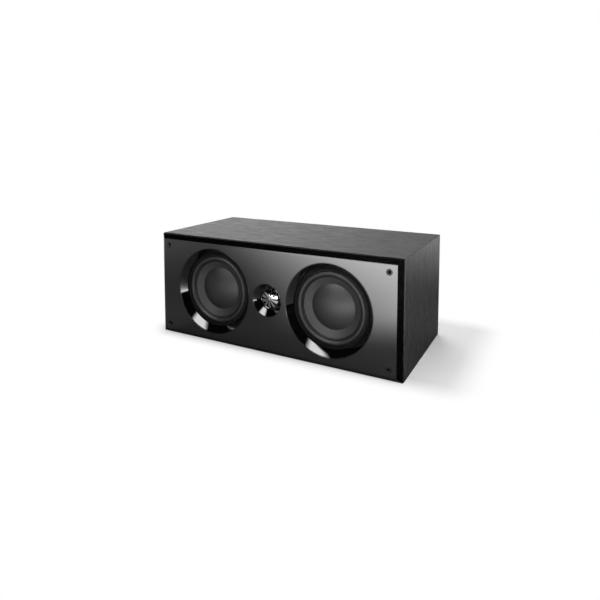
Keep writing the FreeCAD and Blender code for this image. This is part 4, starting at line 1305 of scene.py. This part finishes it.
lamp("key_lamp", centre=(0.50, -0.42, 0.36), size=(0.40, 0.40), radiance=9.5, aim=(0.10, -0.11, 0.09))
lamp("rear_lamp", centre=(-0.45, 1.00, 0.75), size=(0.80, 0.80), radiance=6.0, aim=(0.0, 0.11, 0.09))
lamp("top_lamp", centre=(0.15, 0.20, 1.15), size=(1.00, 0.60), radiance=5.0, aim=(0.15, 0.20, 0.0))
lamp(
    "key_sheen",
    centre=(0.08, -0.82, 1.00),
    size=(1.15, 0.76),
    radiance=23.0,
    aim=(0.08, -0.82, 0.0),
    fades=[
        ((0.541, -0.841, 0.0), 0.19, 0.40),
        ((-0.788, 0.615, 0.0), -0.84, -0.56),
        ((0.0, -1.0, 0.0), 0.44, 0.50),
    ],
    gloss_only=True,
)
lamp(
    "low_sheen",
    centre=(-0.01, -0.725, 0.004),
    size=(1.26, 1.05),
    radiance=11.3,
    aim=(-0.01, -0.725, 1.0),
    fades=[((1.0, -1.0, 0.0), 0.12, 0.85), ((-0.45, -0.89, 0.0), 0.10, 0.30)],
    gloss_only=True,
)
lamp(
    "far_sheen",
    centre=(1.05, -0.90, 0.002),
    size=(1.40, 1.40),
    radiance=14.0,
    aim=(1.05, -0.90, 1.0),
    fades=[((1.0, 0.0, 0.0), 0.35, 0.60)],
    gloss_only=True,
)

# Card on the right that only gloss shows, with a foot on the floor beside the right bevel
CARD_X = 0.32
CARD_DEPTHS = (-0.32, -0.10)
CARD_HEIGHT = 0.24
CARD_FOOT = [(0.226, -0.118), (CARD_X, -0.165), (CARD_X, -0.10), (0.226, -0.10)]
CARD_FOOT_LIFT = 0.001

near, far = CARD_DEPTHS
upright = [(CARD_X, near, 0.0), (CARD_X, far, 0.0), (CARD_X, far, CARD_HEIGHT), (CARD_X, near, CARD_HEIGHT)]
lying = [(x, y, CARD_FOOT_LIFT) for x, y in CARD_FOOT]
card_mesh = bmesh.new()
for corners in (upright, lying):
    card_mesh.faces.new([card_mesh.verts.new(corner) for corner in corners])
card = piece("dark_card", card_mesh)
card.data.materials.append(finishes["gasket_foam"])
card.visible_camera = False
card.visible_diffuse = False
card.visible_transmission = False
card.visible_shadow = False

CAMERA_PLACE = (0.4268, -0.7983, 0.3482)
CAMERA_AZIMUTH = math.radians(28.027)
CAMERA_ELEVATION = math.radians(4.382)
CAMERA_LENS = 30.618
CAMERA_SENSOR = 36.0
CAMERA_SHIFT = -0.20

camera_data = bpy.data.cameras.new("camera")
camera_data.lens = CAMERA_LENS
camera_data.sensor_width = CAMERA_SENSOR
camera_data.shift_y = CAMERA_SHIFT
camera = bpy.data.objects.new("camera", camera_data)
camera.location = CAMERA_PLACE
flat = math.cos(CAMERA_ELEVATION)
back_x = math.sin(CAMERA_AZIMUTH) * flat
back_y = -math.cos(CAMERA_AZIMUTH) * flat
back = Vector((back_x, back_y, math.sin(CAMERA_ELEVATION)))
camera.rotation_mode = "QUATERNION"
camera.rotation_quaternion = (-back).to_track_quat("-Z", "Y")
bpy.context.scene.collection.objects.link(camera)
bpy.context.scene.camera = camera
bpy.context.scene.view_settings.view_transform = "Standard"
